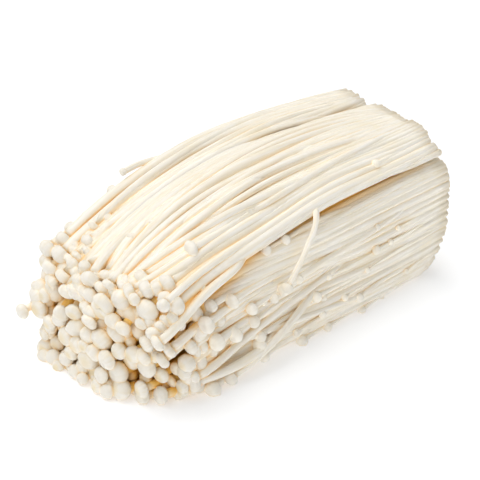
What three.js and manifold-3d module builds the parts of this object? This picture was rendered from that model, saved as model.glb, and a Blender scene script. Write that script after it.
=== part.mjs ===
// An enoki mushroom bunch, lying on its side as bought: long pale stems packed side by side, small
// round caps in a crowd at one end, and the root block cut off flat at the other.
//
// Frame: millimetres, +X along the stems from the caps to the cut, +Z up from the surface that the
// bunch lies on. The origin is under the middle of the bunch, on that surface.
//
// The bunch has split along its length into three clumps, with a crack between each two. A clump is
// one body: stems pressed together near the cut, which part from each other towards the caps.

import * as THREE from "three";
import { mergeVertices } from "three/addons/utils/BufferGeometryUtils.js";
import Module from "manifold-3d";

const wasm = await Module();
wasm.setup();

// ---- driving dimensions, mm ----
const CUT_X = 65; // the cut face, where it is furthest from the caps
const LENGTH = 142; // from the cut face to the furthest caps
const CUT_TUCK = 11; // how far the cut leans in at the surface
const CUT_TUCK_HEIGHT = 22; // height up to which it leans
const CUT_FACETS = 5;
const CRACK_GAP = 2.2; // clear width of the cracks between clumps
const BELLY_SINK = 1.2; // how much the lowest stems are pressed flat
const CORNER = 9; // how square a section's corners are
const DROOP = 4; // how late along its length the bunch droops and spreads to its caps

const CROWD_S = 0.91; // how far along the length the caps crowd, as a share of it
const CROWD_SKEW = 1.6; // the larger, the fewer caps stay far behind
const CROWD_FROM = { front: 5, top: 20 }; // the crowd is set back beyond these, at the front and top
const CAP_STRAY = 2; // how unevenly the caps stand
const RIM_STRAY = 0.3; // and how unevenly round the rim, for the distance between them
const CAP_CLEAR = 1.3; // how far a cap stays inside its section, for its radius
const INNER_SHARE = 0.74; // the honeycomb of caps inside the rim fills this share of a section
const ROOT_DRAW_IN = 0.95; // how much closer to its clump's middle a mushroom starts
const SWAY = { inner: 0.14, rim: 0.06 }; // how far its root strays from its cap's place
const SUNK = { depth: 0.12, fade: 6 }; // how deep a root sinks in the core, and how soon it is out
const CAP_SETTLE = 4; // how late along its stem a mushroom turns in to make room for its cap
const CAP_RADIUS = { small: 2.7, large: 4.1 };
const STEM_RADIUS = { root: 1.45, neck: 1.9 };
const STEM_PER_CAP = 0.5; // the thickest stem, for its cap
const STEM_SIDES = { rim: 6, inner: 5 };
const STEM_STEPS = { rim: 3, inner: 2 };
const STEP_CROWD = 0.75; // under 1, the steps along a stem are shorter towards its cap

const SMALL_CAP_RADIUS = { nearCut: 1.3, nearCaps: 2.9 };
const SMALL_X = { nearCut: 41, nearCaps: -56 }; // the small caps lie between these
const SMALL_LENGTH = 34; // length of a small mushroom
const SMALL_SKEW = 1.25; // the larger, the more of them lie towards the caps
const SMALL_PROUD = 0.8; // how far a small cap stands out of its clump's side, for its radius
const GOLDEN_SHARE = 0.618034;
const ROW_STEP = Math.sqrt(3) / 2; // between the rows of a honeycomb, for its pitch

const ROOT_S = { nearest: 0.34, furthest: 0.66, step: 0.02 }; // shares of the length
const HALF_WAY = 0.5;
const CORE_RIB = 4; // width of one packed stem on a clump's core
const CORE_RIB_DEPTH = 0.8;

const PALE = { color: 0xf6efdc, roughness: 0.55, metalness: 0 };

// The sides of the clumps' sections, across the bunch. A side is a straight line in the YZ plane:
// the way it faces in degrees from +Y, and its distance from the bunch's own axis on the surface,
// at the cut and at the caps, with a swelling half way.
const side = (facing, atCut, atCaps, swell) => ({ facing, atCut, atCaps, swell });
const flipped = (line) => side(line.facing + 180, -line.atCut, -line.atCaps, -line.swell);
const floorSide = side(-90, BELLY_SINK, BELLY_SINK, 0);
const frontSide = side(180, 27.5, 38, 3.5);
const topSide = side(90, 53.5, 33, 6);
const backSide = side(0, 21, 29, 3.5);
const lowFrontSide = side(215, 25, 33, 3);
const highFrontSide = side(128, 53, 50, 3);
const crackUnderTop = side(84, 41.2, 20, 1.5);
const crackBehindTop = side(8.6, 16, 13, 0.5);
const crackUnderBack = side(33, 29.5, 28, 0.3);

// One mushroom has been pulled across the front of the bunch: the points of its stem.
const STRAY_STEM = [
  [6, -22, 50],
  [1, -29, 48.3],
  [-3, -32.4, 44.4],
  [-7, -33.6, 40],
  [-11, -34.4, 34.9],
  [-15.5, -35, 29.6],
];
const STRAY_RADIUS = { stem: 1.35, cap: 2.2 };

// A clump: the distance between its caps, its middle line at the cut and at the caps as [y, z], its
// crowd of caps, its sides, the small mushrooms on its outer side, between two directions in degrees,
// and its strays. A crowd is set back by its front and top bends, in 1/mm, and `depth` is how far some
// caps stay behind the furthest. The top clump reaches out over the front one.
const CLUMPS = [
  {
    name: "front_clump",
    seed: 7,
    pitch: 6.1,
    middle: { cut: [-3, 20], caps: [-4, 12] },
    crowd: { front: 0.024, top: 0.03, depth: 14 },
    outer: [floorSide, frontSide, backSide, lowFrontSide],
    cracks: [crackUnderTop, crackUnderBack],
    small: { count: 12, from: 158, to: 238 },
    strays: [],
  },
  {
    name: "top_clump",
    seed: 3,
    pitch: 6,
    middle: { cut: [-7, 47.5], caps: [-6, 29] },
    crowd: { front: 0.01, top: 0.014, depth: 6.5 },
    outer: [frontSide, topSide, highFrontSide],
    cracks: [flipped(crackUnderTop), crackBehindTop],
    small: { count: 2, from: 150, to: 176 },
    strays: [STRAY_STEM],
  },
  {
    name: "back_clump",
    seed: 5,
    pitch: 6.3,
    middle: { cut: [16, 43], caps: [20, 27] },
    crowd: { front: 0.024, top: 0.022, depth: 14 },
    outer: [topSide, backSide],
    cracks: [flipped(crackBehindTop), flipped(crackUnderBack)],
    small: { count: 2, from: -40, to: 60 },
    strays: [],
  },
];

// ---- numbers ----
const TURN = 2 * Math.PI;
const RIM_STEPS = 180;
const radians = (degrees) => (degrees * Math.PI) / 180;
const mix = (a, b, t) => a + (b - a) * t;

// Seeded draws between 0 and 1, so that the bunch is the same each time.
function seeded(seed) {
  let state = seed >>> 0;
  return () => {
    state = (state + 0x6d2b79f5) >>> 0;
    let t = state;
    t = Math.imul(t ^ (t >>> 15), t | 1);
    t ^= t + Math.imul(t ^ (t >>> 7), t | 61);
    return ((t ^ (t >>> 14)) >>> 0) / 4294967296;
  };
}

// ---- sections of a clump; s runs from 0 at the cut to 1 at the caps ----
const share = (x) => (CUT_X - x) / LENGTH;

function sideDistance(line, s) {
  return mix(line.atCut, line.atCaps, s ** DROOP) + line.swell * 4 * s * (1 - s);
}

function sectionMiddle(clump, s) {
  const { cut, caps } = clump.middle;
  return [mix(cut[0], caps[0], s ** DROOP), mix(cut[1], caps[1], s ** DROOP)];
}

// How far a clump's section reaches from its middle in one direction: a polygon with round corners.
function sectionReach(clump, s, angle) {
  const [y, z] = sectionMiddle(clump, s);
  let total = 0;
  const press = (line, gap) => {
    const facing = radians(line.facing);
    const depth = sideDistance(line, s) - y * Math.cos(facing) - z * Math.sin(facing) - gap;
    total += Math.max(0, Math.cos(angle - facing) / depth) ** CORNER;
  };
  clump.outer.forEach((line) => press(line, 0));
  clump.cracks.forEach((line) => press(line, CRACK_GAP / 2));
  return total ** (-1 / CORNER);
}

// A place in a section: u and v run over a disc of radius 1 that fills the section, less an inset.
function sectionPlace(clump, s, u, v, inset) {
  const [y, z] = sectionMiddle(clump, s);
  const angle = Math.atan2(v, u);
  const reach = Math.hypot(u, v) * (sectionReach(clump, s, angle) - inset);
  return [y + reach * Math.cos(angle), z + reach * Math.sin(angle)];
}

// The cut leans in under the bunch.
function cutX(z) {
  return CUT_X - CUT_TUCK * Math.max(0, 1 - z / CUT_TUCK_HEIGHT) ** 2;
}

// What lies beyond the cut: a slab across the bunch, whose near face follows the cut.
function cutAwayMesh() {
  const outline = new THREE.Shape();
  outline.moveTo(2 * CUT_X, -CUT_TUCK);
  outline.lineTo(2 * CUT_X, 2 * CUT_X);
  outline.lineTo(CUT_X, 2 * CUT_X);
  for (let step = CUT_FACETS; step >= 0; step--) {
    const z = (CUT_TUCK_HEIGHT * step) / CUT_FACETS;
    outline.lineTo(cutX(z), z);
  }
  outline.lineTo(cutX(0), -CUT_TUCK);
  const slab = new THREE.ExtrudeGeometry(outline, { depth: LENGTH, bevelEnabled: false });
  return slab.translate(0, 0, -LENGTH / 2).rotateX(Math.PI / 2);
}

// Where a clump's furthest caps end: the crowd of caps is set back at the front and at the top.
function crowdX(clump, y, z) {
  const front = Math.max(0, -y - CROWD_FROM.front);
  const height = Math.max(0, z - CROWD_FROM.top);
  return CUT_X - LENGTH + clump.crowd.front * front ** 2 + clump.crowd.top * height ** 2;
}

// ---- closed meshes from rings ----
// Rings of points, all of one count, are joined in order and closed at both ends.
function skinRings(rings) {
  const count = rings[0].length;
  const positions = rings.flat(2);
  const index = [];
  for (let r = 0; r + 1 < rings.length; r++) {
    for (let i = 0; i < count; i++) {
      const a = r * count + i;
      const b = r * count + ((i + 1) % count);
      index.push(a, b, a + count, b, b + count, a + count);
    }
  }
  const close = (ring, start, turned) => {
    const middle = [0, 1, 2].map((k) => ring.reduce((sum, p) => sum + p[k], 0) / count);
    const centre = positions.length / 3;
    positions.push(...middle);
    for (let i = 0; i < count; i++) {
      const a = start + i;
      const b = start + ((i + 1) % count);
      index.push(...(turned ? [a, b, centre] : [b, a, centre]));
    }
  };
  close(rings[0], 0, false);
  close(rings[rings.length - 1], (rings.length - 1) * count, true);
  const geometry = new THREE.BufferGeometry();
  geometry.setAttribute("position", new THREE.Float32BufferAttribute(positions, 3));
  geometry.setIndex(index);
  return geometry;
}

// Cap outline from the neck to the crown: [distance ahead of the neck, radius] in cap radii.
const CAP_PROFILE = [
  [-0.05, 0.86],
  [0.35, 1],
  [0.95, 0.6],
];
const CAP_LENGTH = CAP_PROFILE[2][0];

// A mushroom along the points of its stem, with a stem radius at each, and a round cap on the end.
function mushroomMesh(points, radii, cap, sides) {
  const path = points.map((p) => new THREE.Vector3(...p));
  const last = path.length - 1;
  const rings = [];
  const ringAt = (centre, along, radius) => {
    const across = new THREE.Vector3(0, 0, 1).cross(along).normalize();
    const over = along.clone().cross(across).normalize();
    const ring = [];
    for (let i = 0; i < sides; i++) {
      const angle = (i / sides) * TURN;
      const p = centre.clone();
      p.addScaledVector(across, radius * Math.cos(angle));
      p.addScaledVector(over, radius * Math.sin(angle));
      ring.push([p.x, p.y, Math.max(0, p.z)]);
    }
    rings.push(ring);
  };
  path.forEach((point, i) => {
    const before = path[Math.max(0, i - 1)];
    const after = path[Math.min(last, i + 1)];
    ringAt(point, after.clone().sub(before).normalize(), radii[i]);
  });
  const along = path[last].clone().sub(path[last - 1]).normalize();
  for (const [ahead, wide] of CAP_PROFILE) {
    ringAt(path[last].clone().addScaledVector(along, ahead * cap), along, wide * cap);
  }
  return skinRings(rings);
}

// ---- the parts of a clump ----
// The core: the packed stems of a clump, which part from it one by one towards the caps.
const CORE_STEPS = [
  { s: -0.01, share: 1 },
  { s: 0.18, share: 1 },
  { s: 0.36, share: 0.985 },
  { s: 0.52, share: 0.87 },
  { s: 0.64, share: 0.7 },
  { s: 0.74, share: 0.5 },
  { s: 0.82, share: 0.26 },
];

function coreShare(s) {
  const after = CORE_STEPS.findIndex((step) => step.s >= s);
  if (after <= 0) {
    return after < 0 ? 0 : 1;
  }
  const [a, b] = [CORE_STEPS[after - 1], CORE_STEPS[after]];
  return mix(a.share, b.share, (s - a.s) / (b.s - a.s));
}

// How long the rim of a section is, from direction 0 to each of RIM_STEPS directions round it.
function rimWalk(clump, s, inset) {
  const rimPoint = (i) => {
    const angle = (i / RIM_STEPS) * TURN;
    return sectionPlace(clump, s, Math.cos(angle), Math.sin(angle), inset);
  };
  const walked = [0];
  for (let i = 1; i <= RIM_STEPS; i++) {
    const [here, before] = [rimPoint(i), rimPoint(i - 1)];
    walked.push(walked[i - 1] + Math.hypot(here[0] - before[0], here[1] - before[1]));
  }
  return walked;
}

function coreMesh(clump) {
  const walked = rimWalk(clump, HALF_WAY, 0);
  const ribs = Math.round(walked[RIM_STEPS] / CORE_RIB);
  const rings = CORE_STEPS.map((step) => {
    const ring = [];
    for (let i = 0; i < 2 * ribs; i++) {
      const angle = -(i / (2 * ribs)) * TURN;
      const inset = i % 2 ? CORE_RIB_DEPTH : 0;
      const [u, v] = [Math.cos(angle) * step.share, Math.sin(angle) * step.share];
      const [y, z] = sectionPlace(clump, step.s, u, v, inset);
      ring.push([CUT_X - LENGTH * step.s, y, Math.max(0, z)]);
    }
    return ring;
  });
  return skinRings(rings);
}

// A mushroom inside a clump leaves the core, and keeps its place in the clump's section.
function growMushroom(clump, plan) {
  const steps = plan.steps;
  const rootS = plan.rootS;
  const neckS = share(plan.tipX + CAP_LENGTH * plan.cap);
  const points = [];
  const radii = [];
  for (let i = 0; i <= steps; i++) {
    const t = (i / steps) ** STEP_CROWD;
    const s = mix(rootS, neckS, t);
    const lean = (s / neckS) ** 2;
    const u = mix(plan.root[0], plan.tip[0], lean);
    const v = mix(plan.root[1], plan.tip[1], lean);
    const radius = mix(plan.stem[0], plan.stem[1], t);
    const sunk = 1 - SUNK.depth * (1 - t) ** SUNK.fade;
    const inset = mix(radius, plan.inset, t ** CAP_SETTLE);
    points.push([CUT_X - LENGTH * s, ...sectionPlace(clump, s, u * sunk, v * sunk, inset)]);
    radii.push(radius);
  }
  return mushroomMesh(points, radii, plan.cap, plan.sides);
}

// Where the large mushrooms stand in a clump's section: an even row round the rim, and a loose
// honeycomb inside it. Places are [u, v] on the disc that fills the section.
function seats(clump, draw) {
  const places = [];
  const walked = rimWalk(clump, CROWD_S, CAP_RADIUS.small);
  const count = Math.round(walked[RIM_STEPS] / clump.pitch);
  for (let k = 0; k < count; k++) {
    const goal = ((k + RIM_STRAY * draw()) / count) * walked[RIM_STEPS];
    const step = walked.findIndex((length) => length > goal);
    const part = (goal - walked[step - 1]) / (walked[step] - walked[step - 1]);
    const angle = ((step - 1 + part) / RIM_STEPS) * TURN;
    places.push([Math.cos(angle), Math.sin(angle)]);
  }
  const rows = Math.ceil(LENGTH / 2 / clump.pitch);
  for (let row = -rows; row <= rows; row++) {
    for (let column = -rows; column <= rows; column++) {
      const y = (column + (row % 2 ? 0.5 : 0)) * clump.pitch + (draw() - 0.5) * CAP_STRAY;
      const z = row * clump.pitch * ROW_STEP + (draw() - 0.5) * CAP_STRAY;
      const angle = Math.atan2(z, y);
      const rho = Math.hypot(y, z) / (sectionReach(clump, CROWD_S, angle) - CAP_RADIUS.small);
      if (rho < INNER_SHARE) {
        places.push([rho * Math.cos(angle), rho * Math.sin(angle)]);
      }
    }
  }
  return places;
}

// Large mushrooms: their caps crowd the end of the clump, each at its own depth.
function largeMushrooms(clump, draw) {
  return seats(clump, draw).map((tip) => {
    const out = Math.hypot(...tip);
    const cap = mix(CAP_RADIUS.small, CAP_RADIUS.large, draw());
    const [y, z] = sectionPlace(clump, CROWD_S, tip[0], tip[1], cap);
    const sway = mix(SWAY.inner, SWAY.rim, out);
    const root = tip.map((value) => value * ROOT_DRAW_IN + (draw() - 0.5) * sway);
    return growMushroom(clump, {
      root,
      tip,
      tipX: crowdX(clump, y, z) + clump.crowd.depth * draw() ** CROWD_SKEW,
      rootS: rootShare(out),
      cap,
      stem: [STEM_RADIUS.root, Math.min(STEM_RADIUS.neck, cap * STEM_PER_CAP)],
      inset: CAP_CLEAR * cap,
      steps: out > INNER_SHARE ? STEM_STEPS.rim : STEM_STEPS.inner,
      sides: out > INNER_SHARE ? STEM_SIDES.rim : STEM_SIDES.inner,
    });
  });
}

// How far from the cut a mushroom can start and still be sunk well inside the core.
function rootShare(rho) {
  let s = ROOT_S.furthest;
  while (s > ROOT_S.nearest && coreShare(s) < rho + SUNK.depth) {
    s -= ROOT_S.step;
  }
  return s;
}

// Small mushrooms: short ones on the outer side, with their caps at any place along it.
function smallMushrooms(clump, draw) {
  const made = [];
  for (let i = 0; i < clump.small.count; i++) {
    const along = ((i + draw()) / clump.small.count) ** SMALL_SKEW;
    const around = (i * GOLDEN_SHARE) % 1;
    const angle = radians(mix(clump.small.from, clump.small.to, around));
    const cap = mix(SMALL_CAP_RADIUS.nearCaps, SMALL_CAP_RADIUS.nearCut, along);
    const tip = [Math.cos(angle), Math.sin(angle)];
    const tipX = mix(SMALL_X.nearCaps, SMALL_X.nearCut, along);
    made.push(
      growMushroom(clump, {
        root: tip,
        tip,
        tipX,
        rootS: share(Math.min(tipX + SMALL_LENGTH, CUT_X - SMALL_LENGTH / 4)),
        cap,
        stem: [cap * STEM_PER_CAP, cap * STEM_PER_CAP],
        inset: (1 - SMALL_PROUD) * cap,
        steps: STEM_STEPS.rim,
        sides: STEM_SIDES.inner,
      }),
    );
  }
  return made;
}

// ---- joining ----
function solidOf(geometry) {
  geometry.deleteAttribute("normal");
  geometry.deleteAttribute("uv");
  const merged = mergeVertices(geometry);
  const vertProperties = new Float32Array(merged.attributes.position.array);
  const triVerts = new Uint32Array(merged.index.array);
  return new wasm.Manifold(new wasm.Mesh({ numProp: 3, vertProperties, triVerts }));
}

// Joins meshes in one body: a hollow that the joining seals is filled, a loose scrap is dropped.
function fuse(geometries) {
  let whole = solidOf(geometries[0]);
  for (const geometry of geometries.slice(1)) {
    whole = whole.add(solidOf(geometry));
  }
  const bodies = whole.subtract(solidOf(cutAwayMesh())).decompose();
  const body = bodies.reduce((best, next) => (next.volume() > best.volume() ? next : best));
  const { numProp, vertProperties, triVerts } = body.getMesh();
  const joined = new THREE.BufferGeometry();
  joined.setAttribute("position", new THREE.BufferAttribute(new Float32Array(vertProperties), numProp));
  joined.setIndex(new THREE.BufferAttribute(new Uint32Array(triVerts), 1));
  return joined;
}

function clumpGeometry(clump) {
  const draw = seeded(clump.seed);
  const strays = clump.strays.map((stem) => {
    const radii = stem.map(() => STRAY_RADIUS.stem);
    return mushroomMesh(stem, radii, STRAY_RADIUS.cap, STEM_SIDES.rim);
  });
  const grown = [...largeMushrooms(clump, draw), ...smallMushrooms(clump, draw)];
  return fuse([coreMesh(clump), ...grown, ...strays]);
}

// ---- the bunch ----
const bunch = new THREE.Group();
for (const clump of CLUMPS) {
  const mesh = new THREE.Mesh(clumpGeometry(clump), new THREE.MeshStandardMaterial(PALE));
  mesh.name = clump.name;
  bunch.add(mesh);
}

// The origin goes under the middle of the bunch.
const box = new THREE.Box3().setFromObject(bunch);
const middle = box.getCenter(new THREE.Vector3());
bunch.children.forEach((mesh) => mesh.geometry.translate(-middle.x, -middle.y, -box.min.z));

export default bunch;
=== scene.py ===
# %% [markdown]
# # A bunch of enoki mushrooms
# Enoki are grown in a bottle, so hundreds of long pale stems stand pressed together on one root
# block, each with a small round cap. This bunch has been cut off its block and laid on its side.
# The lesson builds every stem and cap as a real mesh, swept along a path by seeded numbers.

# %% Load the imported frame
import math

import bpy
import numpy as np
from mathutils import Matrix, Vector


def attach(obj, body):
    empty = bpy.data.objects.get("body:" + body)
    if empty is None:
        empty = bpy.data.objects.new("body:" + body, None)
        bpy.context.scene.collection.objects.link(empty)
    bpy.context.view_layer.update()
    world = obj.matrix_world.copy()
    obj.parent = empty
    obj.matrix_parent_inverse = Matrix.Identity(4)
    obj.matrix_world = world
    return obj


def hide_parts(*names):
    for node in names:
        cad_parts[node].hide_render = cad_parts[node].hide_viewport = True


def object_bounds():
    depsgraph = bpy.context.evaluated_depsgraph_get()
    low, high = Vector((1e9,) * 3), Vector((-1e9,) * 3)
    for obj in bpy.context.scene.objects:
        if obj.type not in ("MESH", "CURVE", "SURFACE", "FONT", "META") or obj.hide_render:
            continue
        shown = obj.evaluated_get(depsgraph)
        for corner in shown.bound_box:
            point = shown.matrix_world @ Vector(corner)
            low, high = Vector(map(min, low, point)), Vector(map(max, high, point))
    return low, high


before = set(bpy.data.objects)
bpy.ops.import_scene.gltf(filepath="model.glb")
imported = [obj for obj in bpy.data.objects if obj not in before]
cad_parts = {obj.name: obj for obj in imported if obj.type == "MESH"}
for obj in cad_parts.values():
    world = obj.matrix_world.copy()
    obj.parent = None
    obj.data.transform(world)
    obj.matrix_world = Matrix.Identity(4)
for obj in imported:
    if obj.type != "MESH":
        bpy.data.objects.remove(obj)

cad_low, cad_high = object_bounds()
print("frame:", sorted(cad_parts), "box", [round(v, 4) for v in (*cad_low, *cad_high)])

# %% [markdown]
# ## Camera
# A long lens from a metre away keeps the near caps and the far cut at nearly one scale. The camera
# is turned 42 degrees to the left of the bunch's front and raised 30 degrees, and it looks
# straight at its aim, so no lens shift is needed.

# %% Place the camera
MM = 0.001
VIEW_TURN, VIEW_RISE = math.radians(-42), math.radians(30)
VIEW_DISTANCE = 1.0
AIM = Vector((9.85, 15.70, 18.79)) * MM
LENS, SENSOR = 221.25, 36

camera = bpy.data.objects.new("camera", bpy.data.cameras.new("camera"))
camera.data.lens, camera.data.sensor_width = LENS, SENSOR
camera.data.clip_start, camera.data.clip_end = 0.05, 20
back = Vector((math.sin(VIEW_TURN) * math.cos(VIEW_RISE),
               -math.cos(VIEW_TURN) * math.cos(VIEW_RISE),
               math.sin(VIEW_RISE)))
camera.location = AIM + back * VIEW_DISTANCE
camera.rotation_mode = "QUATERNION"
camera.rotation_quaternion = (-back).to_track_quat("-Z", "Y")
bpy.context.scene.collection.objects.link(camera)
bpy.context.scene.camera = camera
print("camera at", [round(v, 3) for v in camera.location])

# %% [markdown]
# ## Colours and nodes
# Colours are written as sRGB hex, as a colour picker shows them, and the renderer needs them
# linear. One small function adds a shader node, sets its values and makes its links.

# %% Two helpers for materials
def linear(hex_colour):
    """An sRGB hex colour in linear light, with an alpha of 1."""
    values = [int(hex_colour[i:i + 2], 16) / 255 for i in (1, 3, 5)]
    return (*[v / 12.92 if v <= 0.04045 else ((v + 0.055) / 1.055) ** 2.4 for v in values], 1.0)


def add_node(material, kind, settings=(), links=()):
    """Adds a node; a setting is one of its inputs or else one of its own properties."""
    node = material.node_tree.nodes.new(kind)
    for name, value in dict(settings).items():
        if isinstance(name, int) or name in node.inputs:
            node.inputs[name].default_value = value
        else:
            setattr(node, name, value)
    for name, source in dict(links).items():
        material.node_tree.links.new(source, node.inputs[name])
    return node


def new_material(name):
    """A material without nodes."""
    material = bpy.data.materials.new(name)
    material.use_nodes = True
    material.node_tree.nodes.clear()
    return material


print("a cream in linear light:", [round(v, 3) for v in linear("#FFFAF1")])

# %% [markdown]
# ## Floor
# White food is shot high-key: a white acrylic sheet that is lit a little from below, so that
# shadows stay faint, and a white tent all round. The sheet is one flat face with a very fine tooth
# in its material, and it glows a little by itself in place of the lamp below it.

# %% Make the floor
FLOOR_SIZE = 8.0
FLOOR_GAP = 0.05 * MM  # keeps the floor just clear of the flat underside

acrylic = new_material("matt_white_acrylic")
tooth = add_node(acrylic, "ShaderNodeTexNoise", {"Scale": 900.0, "Detail": 3.0})
grain = add_node(acrylic, "ShaderNodeBump", {"Strength": 0.05, "Distance": 0.02 * MM},
                 {"Height": tooth.outputs["Fac"]})
sheet = add_node(acrylic, "ShaderNodeBsdfPrincipled",
                 {"Base Color": linear("#E6E8EC"), "Roughness": 0.9, "Specular IOR Level": 0.2,
                  "Emission Color": linear("#FFFFFF"), "Emission Strength": 0.34},
                 {"Normal": grain.outputs["Normal"]})
add_node(acrylic, "ShaderNodeOutputMaterial", (), {"Surface": sheet.outputs["BSDF"]})

half = FLOOR_SIZE / 2
corners = [(-half, -half), (half, -half), (half, half), (-half, half)]
floor_mesh = bpy.data.meshes.new("floor")
floor_mesh.from_pydata([(x, y, -FLOOR_GAP) for x, y in corners], [], [(0, 1, 2, 3)])
floor_mesh.materials.append(acrylic)
floor = bpy.data.objects.new("floor", floor_mesh)
bpy.context.scene.collection.objects.link(floor)
print("floor:", acrylic.name, FLOOR_SIZE, "m square")

# %% [markdown]
# ## Light
# One very soft main light comes from above and behind, and a weak one low from the side of the
# caps. Both are suns, whose strength is the same at any distance, and a wide angle makes their
# shadows soft. The stems' undersides go cream by light that bounced from other stems.

# %% Make the lights and the white tent
# Each light: the direction it comes from, its strength, its width in degrees and its colour.
LIGHTS = {
    "main_light": (Vector((-0.1, 0.26, 0.96)), 1.82, 50, (1.0, 0.98, 0.945)),
    "fill_light": (Vector((-0.86, -0.4, 0.36)), 0.46, 40, (1.0, 0.97, 0.92)),
}
TENT_COLOUR, TENT_STRENGTH = (0.965, 0.985, 1.0, 1.0), 0.41


def add_light(name, direction, energy, angle, colour):
    """A sun that shines from one direction; `angle` is its width in degrees."""
    light = bpy.data.objects.new(name, bpy.data.lights.new(name, "SUN"))
    light.data.energy, light.data.angle, light.data.color = energy, math.radians(angle), colour
    light.rotation_mode = "QUATERNION"
    light.rotation_quaternion = direction.to_track_quat("Z", "Y")
    bpy.context.scene.collection.objects.link(light)


for name, light in LIGHTS.items():
    add_light(name, *light)

tent = bpy.data.worlds.new("white_tent")
tent.use_nodes = True
tent.node_tree.nodes["Background"].inputs["Color"].default_value = TENT_COLOUR
tent.node_tree.nodes["Background"].inputs["Strength"].default_value = TENT_STRENGTH
bpy.context.scene.world = tent
bpy.context.scene.view_settings.view_transform = "Standard"
print("lights:", ", ".join(LIGHTS), "and", tent.name)

# %% [markdown]
# ## The bunch's own measures
# The bunch lies along X: caps at the low end, the cut at the high end. Sizes are in millimetres,
# measured from the bunch's own axis on the table, which AXIS puts in the frame. These numbers are
# the ones that the solid model is built from, so that each fine stem lies where its plain one does.
# Only the fine model has the lean of the cut, its fray and each clump's lip.

# %% Measures of the bunch
AXIS = np.array([6.120, 4.462, 0.0])
CUT_X, LENGTH = 65.0, 142.0
CUT_TUCK, CUT_TUCK_HEIGHT = 11.0, 22.0
CUT_LEAN, CUT_LEAN_FROM, CUT_LEAN_FULL = 3.6, 34.0, 50.0
# How unevenly the knife left the ends of a clump's stems.
FRAY = {"front_clump": 0.25, "top_clump": 1.0, "back_clump": 1.3}
CRACK_GAP, BELLY_SINK = 2.2, 1.2
CORNER, DROOP = 9, 4
CROWD_S, CROWD_SKEW = 0.91, 1.6
CROWD_FRONT_FROM, CROWD_TOP_FROM = 5.0, 20.0
LOOSE_CROWD = 14  # mm; how far some caps stay behind in the clumps whose caps stand most loosely
CAP_STRAY, RIM_STRAY, CAP_CLEAR, INNER_SHARE = 2.0, 0.3, 1.3, 0.74
ROOT_DRAW_IN, CAP_SETTLE = 0.95, 4
SWAY_INNER, SWAY_RIM = 0.14, 0.06
SUNK_DEPTH = 0.12
CAP_SMALL, CAP_LARGE, CAP_LENGTH = 2.7, 4.1, 0.95
STEM_NECK, STEM_PER_CAP = 1.9, 0.5
SMALL_CAP_NEAR_CUT, SMALL_CAP_NEAR_CAPS = 1.3, 2.9
SMALL_X_NEAR_CUT, SMALL_X_NEAR_CAPS = 41.0, -56.0
SMALL_LENGTH, SMALL_SKEW = 34.0, 1.25
GOLDEN_SHARE, ROW_STEP = 0.618034, math.sqrt(3) / 2
ROOT_NEAREST, ROOT_FURTHEST, ROOT_STEP = 0.34, 0.66, 0.02
RIM_STEPS = 180
CORE_S = (-0.01, 0.18, 0.36, 0.52, 0.64, 0.74, 0.82)
CORE_SHARE = (1.0, 1.0, 0.985, 0.87, 0.7, 0.5, 0.26)
print("bunch:", LENGTH, "mm long, caps", 2 * CAP_SMALL, "to", 2 * CAP_LARGE, "mm wide")

# %% [markdown]
# ## The three clumps
# The bunch has split along its length, as it does when it is pressed, so it is three clumps with
# cracks between them. Each clump is the space between a few flat sides, because that is quick to
# change: move one side, and all stems that lie along it follow.

# %% Sides and clumps
# A side of the section: the way it faces in degrees, its distance at the cut and at the caps, and
# its swelling half way.
FLOOR_SIDE = (-90, BELLY_SINK, BELLY_SINK, 0)
FRONT, TOP, BACK = (180, 27.5, 38, 3.5), (90, 53.5, 33, 6), (0, 21, 29, 3.5)
LOW_FRONT, HIGH_FRONT = (215, 25, 33, 3), (128, 53, 50, 3)
UNDER_TOP, BEHIND_TOP, UNDER_BACK = (84, 41.2, 20, 1.5), (8.6, 16, 13, 0.5), (33, 29.5, 28, 0.3)


def flipped(side):
    """The same side, seen from the clump on its other side."""
    return (side[0] + 180, -side[1], -side[2], -side[3])


# A clump: its seed, the distance between its caps, its middle line at the cut and at the caps as
# (y, z), its sides, its small mushrooms (how many, and between which directions in degrees), its
# crowd of caps (its front and top bends in 1/mm, and how far some caps stay behind), and its lip
# (direction, half its width in degrees, and how far it stands out in mm).
CLUMPS = {
    "front_clump": dict(seed=7, pitch=6.1, cut=(-3, 20), caps=(-4, 12),
                        outer=[FLOOR_SIDE, FRONT, BACK, LOW_FRONT], cracks=[UNDER_TOP, UNDER_BACK],
                        small=(12, 158, 238), crowd=(0.024, 0.03, 14), lip=(137, 16, 1.0)),
    "top_clump": dict(seed=3, pitch=6.0, cut=(-7, 47.5), caps=(-6, 29),
                      outer=[FRONT, TOP, HIGH_FRONT], cracks=[flipped(UNDER_TOP), BEHIND_TOP],
                      small=(2, 150, 176), crowd=(0.01, 0.014, 6.5), lip=(191, 20, 0.9)),
    "back_clump": dict(seed=5, pitch=6.3, cut=(16, 43), caps=(20, 27),
                       outer=[TOP, BACK], cracks=[flipped(BEHIND_TOP), flipped(UNDER_BACK)],
                       small=(2, -40, 60), crowd=(0.024, 0.022, 14), lip=(85, 30, 0.6)),
}
for name, clump in CLUMPS.items():
    clump["fray"] = FRAY[name]
print("clumps:", ", ".join(CLUMPS))

# %% [markdown]
# ## Seeded draws
# Nature's unevenness comes from a small number generator with a seed, so that the bunch grows the
# same way on each run.

# %% Draws between 0 and 1
MASK = 0xFFFFFFFF


def seeded(seed):
    """A function that gives the next number between 0 and 1, the same ones for the same seed."""
    state = [seed & MASK]

    def draw():
        state[0] = (state[0] + 0x6D2B79F5) & MASK
        t = state[0]
        t = ((t ^ (t >> 15)) * (t | 1)) & MASK
        t ^= (t + (((t ^ (t >> 7)) * (t | 61)) & MASK)) & MASK
        return ((t ^ (t >> 14)) & MASK) / (MASK + 1)
    return draw


sample = seeded(7)
print("first draws with seed 7:", [round(sample(), 3) for _ in range(4)])

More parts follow.
